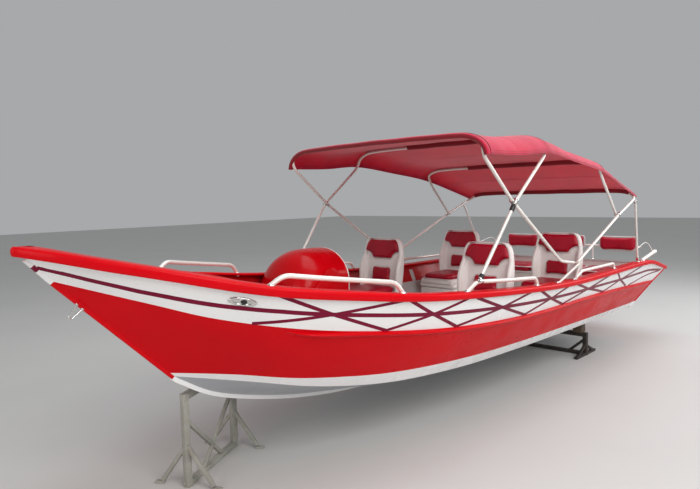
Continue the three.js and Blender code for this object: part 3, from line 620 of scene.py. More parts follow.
def make_hull():
    def even_rows(u):
        return linspace(0, 1, 7)

    def boot_rows(u):
        edge = float(np.interp(u, *zip(*BOOT)))
        shares = (0.12, 0.3, 0.5, 0.7, 0.88, 1.0)
        return [0, edge * 0.5, edge] + [edge + (1 - edge) * t for t in shares]

    # Columns: panel, heights of its rows, how many are white, outside, inside, slot
    for panel, rows_of, white, outside, inside, slot in (
            ("bottom", even_rows, 0, GREY, INSIDE_GREY, "bottom_grey"),
            ("side", boot_rows, 2, RED, INSIDE_GREY, "red_paint"),
            ("band", even_rows, 0, WHITE, INSIDE_RED, "white_paint")):
        outer, inner = [], []
        for u in linspace(0, 1, STEPS + 1):
            wall = (WALL_STEM + (WALL - WALL_STEM) * min(1.0, (1 - u) / 0.14)) * MM
            row = [on_panel(panel, u, v) for v in rows_of(u)]
            outer.append([p for p, _ in row])
            inner.append([off_centre(p - n * wall, 0.001) for p, n in row])
        bag = Bag().add(*shell_grid(outer, inner))
        cols = len(row) - 1
        # Outer face, inner face, then the four edges in turn
        bag.which = [int(j < white) for j in range(cols)] * STEPS + [2] * cols * STEPS
        bag.which += ([0] * cols + [2] * STEPS) * 2
        both((bag, f"{panel}_plating", slot, [outside, WHITE, inside], f"hull_{panel}"))


def make_stripes():
    bag = Bag()

    def ribbon(points, width, lift, steps):
        """A painted line on the band, as a very thin closed strip. Points are (u, v)."""
        uv = np.array(points, float)
        run = np.r_[0, np.cumsum(np.hypot(*np.diff(uv, axis=0).T))]
        fine = linspace(0, run[-1], steps + 1)
        spots = [on_panel("band", np.interp(t, run, uv[:, 0]), np.interp(t, run, uv[:, 1]))
                 for t in fine]
        section = [(s, lift) for s in (-0.5, -0.17, 0.17, 0.5)] + [(0.5, -0.001), (-0.5, -0.001)]
        bag.add(*strip(*zip(*spots), width, section, even=True))

    ribbon(MID_STRIPE, 0.031, 0.0007, 220)
    for u, v, top_fore, foot_fore, top_aft, foot_aft in LATTICE:
        ribbon([(top_fore, ARM_TOP), (u, v), (foot_aft, ARM_FOOT)], 0.025, 0.0009, 48)
        ribbon([(foot_fore, ARM_FOOT), (u, v), (top_aft, ARM_TOP)], 0.023, 0.0011, 48)
    ribbon([(0.15, 0.02), (0.075, 0.37), (0.015, 0.68)], 0.020, 0.0009, 40)
    both((bag, "band_stripes", "white_paint", STRIPE, None))


# Gunwale cap. Section columns: outward from the sheer, up, with the lip's depth as a share
# where it is negative
CAP_SECTION = [
    (-95, 2.0), (-95, 15), (-91, 19), (-86, 20), (-30, 20), (-14, 19), (-8, 17), (-3, 17),
    (2, 19.5), (8, 20.5), (14, 19), (19, 15), (22.5, 8), (24, 0), (24, -0.35), (22.5, -0.72),
    (19, -0.93), (14, -1.0), (4, -1.0), (0.6, -0.94), (0.6, 2.0),
]
CAP_TOP, CAP_OUT = 20, 24
LIP_AFT, LIP_BOW, LIP_NOSE = 26, 42, 34
NOSE_X, NOSE_R = 3.670, 34       # the caps' round nose: its end in metres, its radius in mm
NOSE_TURN = radians(46)


def make_gunwale():
    def cap_ring(point, out, lip, shape=lambda o, z: (o, z)):
        ring = []
        for o, up in CAP_SECTION:
            o, z = shape(o, up if up >= 0 else up * lip)
            ring.append(off_centre(point + np.array([out[0] * o, out[1] * o, z]) * MM, 0.0002))
        return ring

    S = LINE["sheer"]
    rings = []
    for i in range(STEPS + 1):
        along = unit((S[min(i + 1, STEPS)] - S[max(i - 1, 0)])[:2])
        x = S[i][0] / MM
        lip = LIP_AFT + (LIP_BOW - LIP_AFT) * smoothstep(x, 500, 3000)
        lip += (LIP_NOSE - lip) * smoothstep(x, 3250, 3640)
        rings.append(cap_ring(S[i], (-along[1], along[0]), lip))
    middle = np.array([NOSE_X - NOSE_R * MM, 0.0002, S[STEPS][2]])
    for angle in linspace(NOSE_TURN, 0, 9):
        flat = 0.35 + 0.65 * sin(angle / NOSE_TURN * pi / 2) ** 0.6
        rings.append(cap_ring(middle, (cos(angle), sin(angle)), LIP_NOSE, lambda o, z: (
            max(0.0, o + NOSE_R - CAP_OUT), -7 + (z + 7) * flat)))
    both((Bag().loft(rings), "gunwale_cap", "red_paint", RED, "gunwale"))


# Columns: down the side, outward, mm
STRAKE_SECTION = [(0, 0), (1, 14), (3, 22), (8, 26), (16, 26.5), (30, 23), (44, 16), (56, 9),
                  (64, 0)]
STRAKE_END = 0.826


def make_strakes():
    rings = []
    first, last = int(STEPS * 0.02), int(STEPS * STRAKE_END)
    for i in range(first, last + 1):
        high = LINE["band"][i]
        down = unit(LINE["chine"][i] - high)
        _, normal = on_panel("side", i / STEPS, 0.97)
        taper = sin(0.5 * pi * min(1, (last - i + 0.4) / 6)) * min(1, (i - first + 1) / 5)
        # The fore end leaves the band's foot
        top = 4 + 38 * smoothstep(i / STEPS, 0.735, STRAKE_END)
        rings.append([high + down * (top + a * (0.5 + 0.5 * taper)) * MM
                      + normal * (b * taper + 0.4) * MM for a, b in STRAKE_SECTION])
    both((Bag().loft(rings), "strake", "red_paint", RED, "spray_strake"))


# ---------------------------------------------------------------- keel and stem
BAR_HALF = 0.018
STEM_UP = (0.65, 0.76)   # direction of the upper stem, x and z


def bar_along(path, deep):
    """A bar along the middle plane whose back follows points of x and z."""
    P = np.asarray(path)
    wide = ((0, 1), (0.75, 0.82), (0.95, 0.7), (1, 0.45))
    rings = []
    for i, (x, z) in enumerate(P):
        along = unit(P[min(len(P) - 1, i + 1)] - P[max(0, i - 1)])
        rings.append([(x + along[1] * deep * d, y * BAR_HALF, z - along[0] * deep * d)
                      for d, y in (*wide, *((d, -y) for d, y in wide[::-1]))])
    return closed_loft(rings)


def make_keel():
    foot, mid, head = (LINE[n][STEPS] for n in ("chine", "band", "sheer"))
    keel = [(p[0], p[2]) for p in (*LINE["keel"], foot)]
    Bag().add(*bar_along(keel, 0.030)).make("keel_strip", "white_paint", WHITE, "keel_bar")
    stem = [p[[0, 2]] for p in line(foot, mid, linspace(0, 1, 12))]
    stem += [p[[0, 2]] for p in line(mid, head, linspace(0, 1, 21))[1:]]
    verts, faces = bar_along([p for p in stem if p[1] < head[2] - 0.043], 0.022)
    bag = Bag().add(verts, faces)
    stripe = norm(head - mid) * MID_STRIPE[0][1]
    for k, face in enumerate(faces):
        level = np.mean([(verts[i][0] - mid[0]) * STEM_UP[0] + (verts[i][2] - mid[2]) * STEM_UP[1]
                         for i in face])
        if level > 0:
            bag.which[k] = 2 if abs(level - stripe) < 0.018 else 1
    bag.make("stem_strip", "red_paint", [RED, WHITE, STRIPE], "stem_bar")


# ---------------------------------------------------------------- decks and fittings
def across_shell(rows):
    """Shell from rows of x, half breadth and height above, and the same below, with crowns."""
    grids = [[], []]
    for x, *levels in rows:
        for grid, (half, z, crown) in zip(grids, levels):
            shares = linspace(-1, 1, 33 if crown is not None else 25)
            grid.append([(x, half * s, z + (crown or 0) * (1 - s * s)) for s in shares])
    return Bag().add(*shell_grid(*grids))


def make_decks():
    rows = []
    for x in linspace(2.600, 3.52, 40):
        _, y, z = (v * MM for v in sheer_at(x / MM))
        edge = max(0.02, y - LINING)
        crown = 0.026 * min(1, max(0.0, edge - 0.109) / 0.4)
        rows.append((x, (edge, z - 0.0006, crown), (edge, z - 0.0186, crown * 0.2)))
    across_shell(rows).make("fore_deck_plate", "red_paint", RED, "foredeck")
    x, y, z = (v * MM for v in sheer_at(2600))
    lip = [(x - 0.004, s * (y - 0.12), z + 0.006 + 0.024 * (1 - s * s))
           for s in linspace(-1, 1, 30)]
    Bag().pipe(lip, 0.013, 12).make("fore_deck_coaming", "red_paint", RED)


def make_sole():
    rows = []
    for x in linspace(-3.020, 2.545, 240):
        half = inner_half(x, 0.588) - 0.001
        if half < 0.02:
            break
        low = max(0.01, min(half, inner_half(x, 0.572) - 0.001))
        rows.append((x, (half, 0.590, None), (low, 0.5702, None)))
    across_shell(rows).make("cockpit_floor", "sole", SOLE, "cockpit_sole")


def make_ribs():
    """Pressed frames along the inside of the plating."""
    bag = Bag()
    half = ((0.030, -0.004), (0.022, 0.010), (0.014, 0.014))
    section = [(-s, d) for s, d in half] + list(half[::-1])
    for x in (2.30, 1.85, 1.20, 0.66, -0.42, -0.98, -1.82, -2.30):
        bag.loft([[(x + s, inner_half(x, z) - 0.0005 - d, z) for s, d in section]
                  for z in linspace(0.600, 1.02 + 0.05 * max(0, x), 16)])
    both((bag, "inside_frames", "red_paint", INSIDE_GREY, None))


def make_transom_fittings():
    """Ribs, drain plugs and eyes on the raked transom."""
    along = Vector((-RAKE, 0, 1.0)).normalized()
    out = Vector((-1.0, 0, -RAKE)).normalized()
    top = Vector((SHEER_END[0], 0, KEEL_LIFT + SHEER_END[1])) * MM

    def place(y, down, lift=0.0):
        return top - along * down + out * (0.024 + lift) + Vector(PORT) * y

    bag = Bag()
    for y in (-0.62, -0.34, 0.34, 0.62):
        bag.pipe([place(y, d, 0.002) for d in linspace(0.07, 0.50, 12)], 0.011, 10)
    bag.pipe([place(y, 0.028) for y in linspace(-0.93, 0.93, 40)], 0.012, 10)
    bag.make("transom_ribs", "red_paint", RED)
    steel = Bag()
    plug = [(0, 0.030), (0.004, 0.030), (0.006, 0.026), (0.007, 0.018), (0.016, 0.016),
            (0.018, 0.006)]
    for y in (-0.5, 0.5):
        steel.turned(plug, place(y, 0.60), out)
    for y in (-0.80, 0.80):
        for down in (0.16, 0.24):
            steel.turned([(0, 0.012), (0.004, 0.012), (0.006, 0.008)], place(y, down), out, 12)
        steel.pipe([place(y, 0.16 + 0.08 * (1 - cos(t)) / 2, 0.036 * sin(t))
                    for t in linspace(0, pi, 18)], 0.006, 10)
    steel.make("transom_fittings", "tube", BRIGHT)


def make_bow_eye():
    """A bent rod with both ends welded to the stem's red part."""
    foot, mid = (LINE[n][STEPS] for n in ("chine", "band"))
    up = unit(mid - foot)
    out = np.array([up[2], 0, -up[0]])
    spot = foot + up * np.dot(np.array([3.335, 0, 1.345]) - foot, up) + out * 0.018
    ends = [spot + up * s for s in (0.021, -0.021)]
    far = [spot + out * 0.082 + up * s for s in (0.010, -0.010)]
    path = rounded([[*(p / MM), 9] for p in (ends[0], *far, ends[1])], straight=0.01)
    bag = Bag().pipe(path, 0.0045, 12)
    for p in ends:
        bag.turned([(0, 0.010), (0.004, 0.009), (0.007, 0.006)], p, out, 14)
    bag.make("bow_eye", "tube", BRIGHT)


def make_hawse():
    centre, normal = on_panel("band", 0.850, 0.60)
    ahead = unit(on_panel("band", 0.856, 0.60)[0] - on_panel("band", 0.844, 0.60)[0])
    up = np.cross(ahead, normal)
    up *= np.sign(up[2])

    def rings(rows, shift=0.0):
        """Ovals about the hawse. Columns: half length, half height, lift, in mm."""
        return [[centre + ahead * (a * MM * cos(t) + shift) + up * b * MM * sin(t)
                 + normal * lift * MM for t in around(40)] for a, b, lift in rows]

    bag = Bag().loft(rings([(86, 31, -4), (86, 31, 4), (81, 28, 9), (70, 23, 11), (60, 19, 9),
                            (56, 17, 3), (56, 17, -4)]))
    bag.loft(rings([(57, 18, -4), (57, 18, 3.6), (40, 12, 4.2)]))
    # The opening is a closed black body: painted shade where the hole is
    hole = Bag().loft(rings([(20, 14, -1), (20, 14, 6.6), (16, 11, 7.4)], -0.008))
    both((bag, "hawse_collar", "tube", BRIGHT, None), (hole, "hawse_hole_shade", "tube", KNUCKLE, None))


# ---------------------------------------------------------------- canopy
# Columns: x, half breadth, height of the edge above the keel's underside, rise of the crown
CANOPY_ROWS = [(865, 1118, 1925, 190), (350, 1115, 1935, 186), (-120, 1115, 1965, 180),
               (-740, 1108, 1905, 158), (-1350, 1098, 1825, 145), (-1900, 1082, 1695, 112),
               (-2370, 1068, 1570, 88)]
# Section from the edge to the crown, as parts of the half breadth and the rise
CANOPY_SECTION = [(1, 0), (0.99, 0.25), (0.963, 0.5), (0.915, 0.72), (0.84, 0.88),
                  (0.7, 0.955), (0.4, 0.985), (0, 1)]
FRONT, MAIN, SLANT, AFT = BOWS_AT = (0.838, -0.120, -1.350, -2.340)
CLOTH = 0.0026
SLACK = 0.016            # how far the cloth sinks between two bows, a metre of their distance
FRONT_SHADED_ROWS = 6           # rows of the front roll's under half, which take the painted shade
WRAP_R, WRAP_IN = 0.0215, 0.0245         # the roll around the front bow, and its middle's depth
_dense = spline(CANOPY_ROWS, 240)[::-1]
_both = CANOPY_SECTION + [(-a, b) for a, b in CANOPY_SECTION[-2::-1]]
_section = spline([(a * 1000, b * 180) for a, b in _both], 96) / (0.001 * np.array([1000, 180]))


def section_at(s):
    """The section's two shares at s from 0, the port edge, to 1, the starboard edge."""
    q = np.clip(s, 0, 1) * 96
    return [np.interp(q, np.arange(97), _section[:, k]) for k in (0, 1)]


def section_point(x, s):
    """A point of the canopy's section at x, and the outward normal there."""
    half, low, rise = (float(np.interp(x, _dense[:, 0], _dense[:, k])) for k in (1, 2, 3))
    a, b = section_at(s)
    a1, b1 = section_at(s + 0.004)
    a0, b0 = section_at(s - 0.004)
    y, z = unit(np.array([half * (a1 - a0), rise * (b1 - b0)]))
    return np.array([x, half * a, low + KEEL_LIFT * MM + rise * b]), np.array([0.0, z, -y])


def cloth_point(x, s, lift=0.0):
    """A point of the cloth's upper face, moved along its outward normal by lift."""
    point, normal = section_point(x, s)
    b = section_at(s)[1]
    slack = 0.0
    for fore, aft in zip(BOWS_AT, BOWS_AT[1:]):
        if aft < x < fore:
            t = (fore - x) / (fore - aft)
            slack = 4 * t * (1 - t) * (SLACK * (fore - aft))
    ripple = 0.0022 * sin(9.1 * x + 14 * s) * sin(21 * s + 3.7 * x)
    ripple += 0.0015 * sin(31 * x - 9 * s) * (1 - b)
    return point + normal * (lift - slack * (0.35 + 0.65 * b) + ripple), normal


def make_canopy():
    outer, inner = [], []
    cols = linspace(0, 1, 89)
    for theta in linspace(-1.45, pi / 2, 10):
        spots = [cloth_point(FRONT, s) for s in cols]
        for grid, r in ((outer, WRAP_R), (inner, WRAP_R - CLOTH)):
            grid.append([p - n * WRAP_IN + n * r * sin(theta) + np.array([r * cos(theta), 0, 0])
                         for p, n in spots])
    for x in linspace(FRONT - 0.022, -2.368, 110):
        ease = smoothstep(x, FRONT - 0.082, FRONT - 0.022) * (WRAP_R - WRAP_IN)
        for grid, deep in ((outer, 0), (inner, CLOTH)):
            grid.append([cloth_point(x, s, ease - deep)[0] for s in cols])
    cloth = Bag().add(*shell_grid(outer, inner))
    # The front roll's under half takes the darker canvas: painted shade
    dark = FRONT_SHADED_ROWS * (len(cols) - 1)
    cloth.which[:dark] = [1] * dark
    cloth = cloth.make("canopy_cloth", "canvas", [CANVAS, CANVAS_SHADED], "canopy", smooth=50)
    hem, stitch, pockets = Bag(), Bag(), Bag()

    def band(bag, points, width, lift, deep):
        """A strip on the cloth through points of (x, s)."""
        spots = [cloth_point(x, s, lift) for x, s in points]
        section = [(-0.5, -deep), (-0.5, -0.0004), (-0.4, 0.0006), (0.4, 0.0006),
                   (0.5, -0.0004), (0.5, -deep)]
        bag.add(*strip(*zip(*spots), width, section))

    xs = linspace(FRONT - 0.022, -2.362, 90)
    across = linspace(0.012, 0.988, 80)
    for s, sign in ((0.0, 1), (1.0, -1)):
        band(hem, [(x, s + sign * 0.008) for x in xs], 0.034, 0.0012, 0.0062)
        for off in (0.0045, 0.0125):
            band(stitch, [(x, s + sign * off) for x in xs], 0.0022, 0.0024, 0.003)
    for x in (FRONT - 0.030, MAIN + 0.022, MAIN - 0.022, SLANT + 0.022, SLANT - 0.022,
              AFT + 0.030, AFT - 0.020):
        band(stitch, [(x, s) for s in across], 0.0024, 0.0008, 0.003)
    for x in (0.36, -0.74, -1.86):
        band(hem, [(x, s) for s in across], 0.018, 0.0008, 0.003)
    hem.make("canopy_hem", "canvas", CANVAS)
    stitch.make("canopy_stitching", "canvas", THREAD)
    # Seams and the pockets that the bows run through, on the cloth's under side, in the darker
    # canvas as painted shade
    for x, first in ((MAIN, 0.65), (SLANT, 0.685)):
        band(pockets, [(x, s) for s in linspace(first, 0.90, 40)], 0.034, -CLOTH - 0.0002, 0.0014)
    for x, first, last in ((MAIN, 0.17, 0.66), (SLANT, 0.13, 0.695), (AFT, 0.06, 0.94)):
        rings = []
        for s in linspace(first, last, 70):
            p, n = cloth_point(x, s, -CLOTH)
            ring = []
            for t in linspace(0, pi, 14):
                wide = 0.0195 * (1 + 0.55 * (1 - sin(t)) ** 2)
                hang = 0.0435 * max(0.0, sin(t)) ** 0.7
                ring.append(p + np.array([wide * cos(t), 0, 0]) - n * hang)
            rings.append(ring)
        pockets.loft(rings)
    pockets.make("canopy_pockets", "canvas", CANVAS_SHADED)


# ---------------------------------------------------------------- tubes
TUBE_R = 0.014
PLANE_IN, BESIDE = 1068, 14.3            # plane of the legs, and how far a leg is beside it, mm
HINGE = (-760, 1250)
CROSSING, JOINT_AFT = (395, 1845), (-1800, 1660)
RAIL_IN = 40             # middle of the rails inboard of the sheer, mm
RAILS = {
    "fore": [(2530, -20), (2430, 70), (1680, 70), (1610, -20)],
    "middle": [(1020, -20), (880, 70), (30, 66), (0, -20)],
    "aft": [(-700, -20), (-900, 62), (-1760, 56), (-1775, -20)],
}
POLE_FOOT, POLE_TOP = -2560, (-2215, 1795)


def rail_point(x, up):
    """A point over the gunwale cap with a corner radius, in mm."""
    _, y, z = sheer_at(x)
    return [x, y - RAIL_IN, z + CAP_TOP + up, 45]


def off_plane(place, off):
    """A point from x and z in mm, off the plane of the legs, in metres."""
    return Vector((place[0], PLANE_IN + off, place[1])) * MM


def bow_path(legs, x, off):
    """Path of a bow from its port legs, as x, z and y where it isn't off the plane."""
    top = []
    for s in linspace(0, 0.5, 60):
        point, normal = section_point(x * MM, s)
        if section_at(s)[1] > 0.45:
            top.append((point - normal * 0.0235) / MM)
    leg = [[p[0], p[2] if len(p) > 2 else PLANE_IN + off, p[1], 60] for p in legs]
    side = np.concatenate([rounded(leg + [top[0]]), np.array(top[1:]) * MM])
    return soften(np.concatenate([side, side[-2::-1] * np.array([1, -1, 1])]))


def clamp_ring(bag, at, along, length, r=TUBE_R):
    n = Vector(along).normalized()
    bag.turned([(0, r * 0.96), (0.0008, r + 0.004), (0.004, r + 0.0055),
                (length - 0.004, r + 0.0055), (length - 0.0008, r + 0.004), (length, r * 0.96)],
               Vector(at) - n * length / 2, n, 18)


def make_frame_tubes():
    _, rail_y, rail_z, _ = rail_point(850, 70)
    # Columns: name, legs, x of the bow, off the plane
    for name, legs, x, off in (
            ("front", [HINGE, (-480, 1288), CROSSING, (818, 2190)], 838, -BESIDE),
            ("main", [(836, rail_z + 22, rail_y), CROSSING, (-106, 2225)], -120, BESIDE),
            ("aft", [HINGE, JOINT_AFT, (-2270, 1820)], -2340, BESIDE),
            ("slant", [JOINT_AFT, (-1420, 2030)], -1350, -BESIDE + 0.45)):
        path = bow_path(legs, x, off)
        if name in ("front", "aft"):     # these two end in the hinge's bracket
            for end, inward in ((0, 1), (-1, -2)):
                path[end] += unit(path[inward] - path[end]) * 0.013
        Bag().pipe(path, TUBE_R, 18).make(f"{name}_bow_tube", "tube", TUBE, f"bow_{name}")
    black, bright = Bag(), Bag()
    clamp_ring(bright, off_plane(CROSSING, -BESIDE), (875, 0, 557), 0.046)
    clamp_ring(bright, off_plane(CROSSING, BESIDE), (455, 0, -540), 0.046)
    clamp_ring(bright, off_plane(JOINT_AFT, BESIDE), (1040, 0, -410), 0.06)
    for place, half in ((CROSSING, 34), (JOINT_AFT, 32)):        # bolts
        long = 2 * half * MM
        bright.turned([(0, 0.009), (0.004, 0.012), (long - 0.004, 0.012), (long, 0.009)],
                      off_plane(place, -half), PORT, 14)
    foot = Vector((850, rail_y, rail_z)) * MM
    up = (off_plane(CROSSING, BESIDE) - foot).normalized()
    clamp_ring(black, foot + up * 0.045, up, 0.032)
    clamp_ring(bright, foot, (850, 0, -8), 0.075, 0.016)
    bright.turned([(0, 0.011), (0.02, 0.013), (0.034, 0.011)], foot + up * 0.012, up, 14)
    black.both_sides()
    # The black wrap under the crossing is on the port side only
    clamp_ring(black, off_plane(CROSSING, BESIDE) - up * 0.064, up, 0.062)
    black.make("frame_knuckles", "tube", KNUCKLE)
    bright.both_sides().make("frame_joints", "tube", BRIGHT)


def foot_flange(bag, x, r=0.030):
    """A welded foot plate with three screws on the gunwale cap."""
    spot = Vector(rail_point(x, -0.6)[:3]) * MM
    bag.turned([(0, r), (0.003, r), (0.0045, r - 0.0015), (0.005, 0.019), (0.010, 0.0165),
                (0.012, 0.015)], spot, UP, 24)
    for k in range(3):
        t = 0.5 + THIRD * k
        screw = spot + Vector((cos(t), sin(t), 0)) * (r - 0.007)
        bag.turned([(0.003, 0.004), (0.0055, 0.0038), (0.0065, 0.002)], screw, UP, 8)


def make_rails():
    for name, rows in RAILS.items():
        first, second, third, last = rows
        level = line(np.array(second), np.array(third), (0, 0.25, 0.5, 0.75, 1))
        points = [rail_point(*row) for row in (first, *level, last)]
        bag = Bag().pipe(soften(rounded(points), 0.014), 0.016, 18)
        flanges = Bag()
        for x in (first[0] - 22, last[0] + (16 if name == "fore" else 12)):
            foot_flange(flanges, x)
        if name == "aft":        # bracket and hinge of the bows
            for x in (-750, -370):
                foot = Vector(rail_point(x, -18)[:3]) * MM
                bag.pipe(line(foot, off_plane(HINGE, 41)), 0.011, 14)
                foot_flange(flanges, x, 0.026)
            bag.turned([(0, 0.006), (0.003, 0.0125), (0.010, 0.0125), (0.011, 0.009),
                        (0.080, 0.009), (0.081, 0.0125), (0.092, 0.0125), (0.094, 0.008)],
                       off_plane(HINGE, -38), PORT, 18)
        both((bag, f"{name}_rail_tube", "tube", TUBE, f"grab_rail_{name}"),
             (flanges, f"{name}_rail_feet", "tube", BRIGHT, None))
    foot = Vector(rail_point(POLE_FOOT, 0)[:3]) * MM
    top = off_plane(POLE_TOP, 40.6)
    pole = Bag().pipe(line(foot, top, (0, 0.33, 0.66, 1)), 0.012)
    ends = Bag()
    foot_flange(ends, POLE_FOOT, 0.028)
    clamp_ring(ends, foot + (top - foot) * 0.06, top - foot, 0.05, 0.012)
    clamp_ring(ends, foot + (top - foot) * 0.985, top - foot, 0.03, 0.012)
    ends.turned([(0, 0.010), (0.045, 0.010), (0.048, 0.006)], top - Vector((0, 0.030, 0)), PORT,
                12)
    _, y, z = sheer_at(-2740)
    start = Vector((-2740, y - 46, z + CAP_TOP + 4)) * MM
    tip = start + Vector((-0.315, 0.045, 0.082))
    holder = Bag().turned([(0, 0.014), (0.004, 0.020), (0.30, 0.020), (0.305, 0.024),
                           (0.335, 0.024), (0.338, 0.021), (0.338, 0.017), (0.20, 0.0165),
                           (0.20, 0.004)], start, tip - start, 22)
    foot_flange(ends, -2745)
    hoop = [foot + (top - foot) * 0.22, (-2.60, 1.040, 1.262), (-2.722, 1.035, 1.287),
            (-2.809, 1.032, 1.295), (-2.898, 1.034, 1.272), (-2.966, 1.042, 1.222),
            start + (tip - start) * 0.83 + Vector((0, 0, 0.018))]
    holder.pipe(soften(np.array([tuple(q) for q in hoop]), 0.02), 0.0045, 10)
    both((pole, "aft_pole_tube", "tube", TUBE, "aft_pole"),
         (ends, "aft_pole_ends", "tube", BRIGHT, None), (holder, "rod_holder", "tube", TUBE, None))


# ---------------------------------------------------------------- pads
PRESSURE, SIM_FRAMES, MANY_FACES = 4.0, 20, 12000
FLAT_AXES = (FORE, PORT, UP)


def swell(loop, low, high, edge, cap, voxel):
    """Cloth simulation of a filled pad on a closed loop of (a, b), its depth from low to high
    with rims rounded by edge. It swells by cap at most, and its back at low stays flat.
    Returns the verts and faces of the swollen pad, with one subdivision unless it has many faces."""
    quarter = linspace(0, pi / 2, 4)
    steps = [(low + edge * (1 - cos(t)), edge * (1 - sin(t))) for t in quarter]
    steps += [(high - edge * (1 - sin(t)), edge * (1 - cos(t))) for t in quarter]
    middle = loop.mean(axis=0)
    away = loop - middle
    size = norm(away, axis=1)[:, None]
    rings = [[(a, b, depth) for a, b in middle + away * (1 - inset / size)]
             for depth, inset in steps]
    verts, faces = closed_loft(rings)
    mesh = bpy.data.meshes.new("pad_work")
    mesh.from_pydata(verts, [], faces)
    work = add_object("pad_work", mesh)
    bpy.context.view_layer.objects.active = work

    def evaluated():
        return work.evaluated_get(bpy.context.evaluated_depsgraph_get())

    remesh = work.modifiers.new("remesh", "REMESH")
    remesh.mode, remesh.voxel_size, remesh.use_smooth_shade = "VOXEL", voxel, True
    flat = bpy.data.meshes.new_from_object(evaluated())
    work.modifiers.clear()
    work.data = flat
    start = np.array([v.co for v in flat.vertices])
    cloth = work.modifiers.new("cloth", "CLOTH")
    cloth.settings.use_pressure = True
    cloth.settings.uniform_pressure_force = PRESSURE
    cloth.settings.effector_weights.gravity = 0
    cloth.settings.quality = 5
    cloth.point_cache.frame_start, cloth.point_cache.frame_end = 1, SIM_FRAMES
    for step in range(1, SIM_FRAMES + 1):
        bpy.context.scene.frame_set(step)
    grown = evaluated().to_mesh()
    end = np.array([v.co for v in grown.vertices])
    work.modifiers.clear()
    bpy.context.scene.frame_set(1)
    move = end - start
    end = start + move * np.minimum(1, cap / np.maximum(norm(move, axis=1), 1e-9))[:, None]
    end[:, 2] = np.maximum(end[:, 2], low)
    flat.vertices.foreach_set("co", end.astype(np.float32).ravel())
    smooth = bmesh.new()
    smooth.from_mesh(flat)
    for _ in range(3):
        bmesh.ops.smooth_vert(smooth, verts=smooth.verts, factor=0.5, use_axis_x=True,
                              use_axis_y=True, use_axis_z=True)
    smooth.to_mesh(flat)
    smooth.free()
    subdivide = work.modifiers.new("smooth", "SUBSURF")
    subdivide.levels = subdivide.render_levels = 1 if len(flat.polygons) < MANY_FACES else 0
    done = bpy.data.meshes.new_from_object(evaluated())
    out = [tuple(v.co) for v in done.vertices], [tuple(p.vertices) for p in done.polygons]
    bpy.data.objects.remove(work)
    return out


def make_pad(name, node, shape, origin, axes, piping):
    """A pad whose verts (a, b, depth) lie along three axes. piping: loop, depth, radius."""
    def placed(points):
        return np.asarray(origin) + np.asarray(points) @ np.array(axes, float)

    verts, faces = shape
    made = Bag().add(placed(verts), faces).make(name, "vinyl", VINYL, node, smooth=60)
    loop, depth, radius = piping
    path = placed([(a, b, depth) for a, b in loop])
    Bag().add(*closed_pipe(path, radius)).make(f"{name}_piping", "vinyl", PIPING)


# ---------------------------------------------------------------- seats
SEAT_LEAN = 0.14
# Moulded back. Columns: height, half width, bolster ahead of the face, depth behind the face
BACK_LEVELS = [(866, 250, 58, 33), (960, 258, 74, 36), (1080, 264, 90, 38), (1180, 267, 92, 38),
               (1270, 262, 68, 38), (1350, 253, 30, 37), (1410, 240, 17, 36), (1446, 224, 14, 34),
               (1466, 206, 8, 30), (1476, 190, 2, 24), (1480, 172, -6, 14)]
FACE_AHEAD = 26          # the moulded face stands this far ahead of the CAD back's face
# Boxes of the shell. Columns: aft and fore end, half width, foot, top, bevel, its segments
SEAT_BOXES = [(-0.088, 0.428, 0.236, 0.5904, 0.842, 0.022, 4),
              (-0.092, 0.434, 0.240, 0.846, 0.896, 0.018, 4),
              (-0.036, 0.446, 0.214, 0.888, 0.946, 0.020, 4),
              (0.424, 0.433, 0.150, 0.640, 0.800, 0.004, 2)]
CUSHION_TOP = 0.946
CUSHION_LOOP = rounded_loop([(-0.034, -0.198, 0.05), (0.446, -0.196, 0.075),
                             (0.446, 0.196, 0.075), (-0.034, 0.198, 0.05)])
# Pads on the back, as (across, up) on the leaning face
UPPER_LOOP = rounded_loop([
    (-0.196, 0.208, 0.075), (0.196, 0.208, 0.075), (0.236, 0.088, 0.022), (0.166, 0.060, 0.04),
    (0.133, 0.028, 0.03), (0.122, 0.001, 0.012), (-0.122, 0.001, 0.012), (-0.133, 0.028, 0.03),
    (-0.166, 0.060, 0.04), (-0.236, 0.088, 0.022)])
LOWER_LOOP = rounded_loop([(-0.118, 0.150, 0.035), (0.118, 0.150, 0.035), (0.122, 0.0, 0.03),
                           (-0.122, 0.0, 0.03)])


def cad_face(z):
    """x of the CAD back's face at a height, in mm."""
    return -40 - (z - 885) * SEAT_LEAN


def seat_ring(z, half, wing, rear):
    """Closed outline of the moulded back at a height, in mm: rear, side, bolster, face."""
    fore = cad_face(z)
    back = fore - rear
    face = fore + min(FACE_AHEAD, wing + 14)
    tip = max(back + 66, fore + wing - 20)
    side = [(back, (half - 66) * t) for t in linspace(0, 1, 9)]
    side += [(back + 62 * (1 - cos(t)), half - 66 + 66 * sin(t))
             for t in linspace(0, pi / 2, 7)[1:]]
    side.append(((back + 62 + tip) / 2, half))
    side += [(tip + 20 * sin(t), half - 21 + 21 * cos(t)) for t in linspace(0, pi, 9)]
    side += [(tip + (face - tip) * (1 - cos(pi * t)) / 2, half - 42 - 36 * t)
             for t in linspace(0, 1, 9)[1:]]
    side += [(face, side[-1][1] * t) for t in linspace(1, 0, 8)[1:]]
    far = [(x, -y) for x, y in side[-2:0:-1]]
    return [(x * MM, y * MM, z * MM) for x, y in side + far]


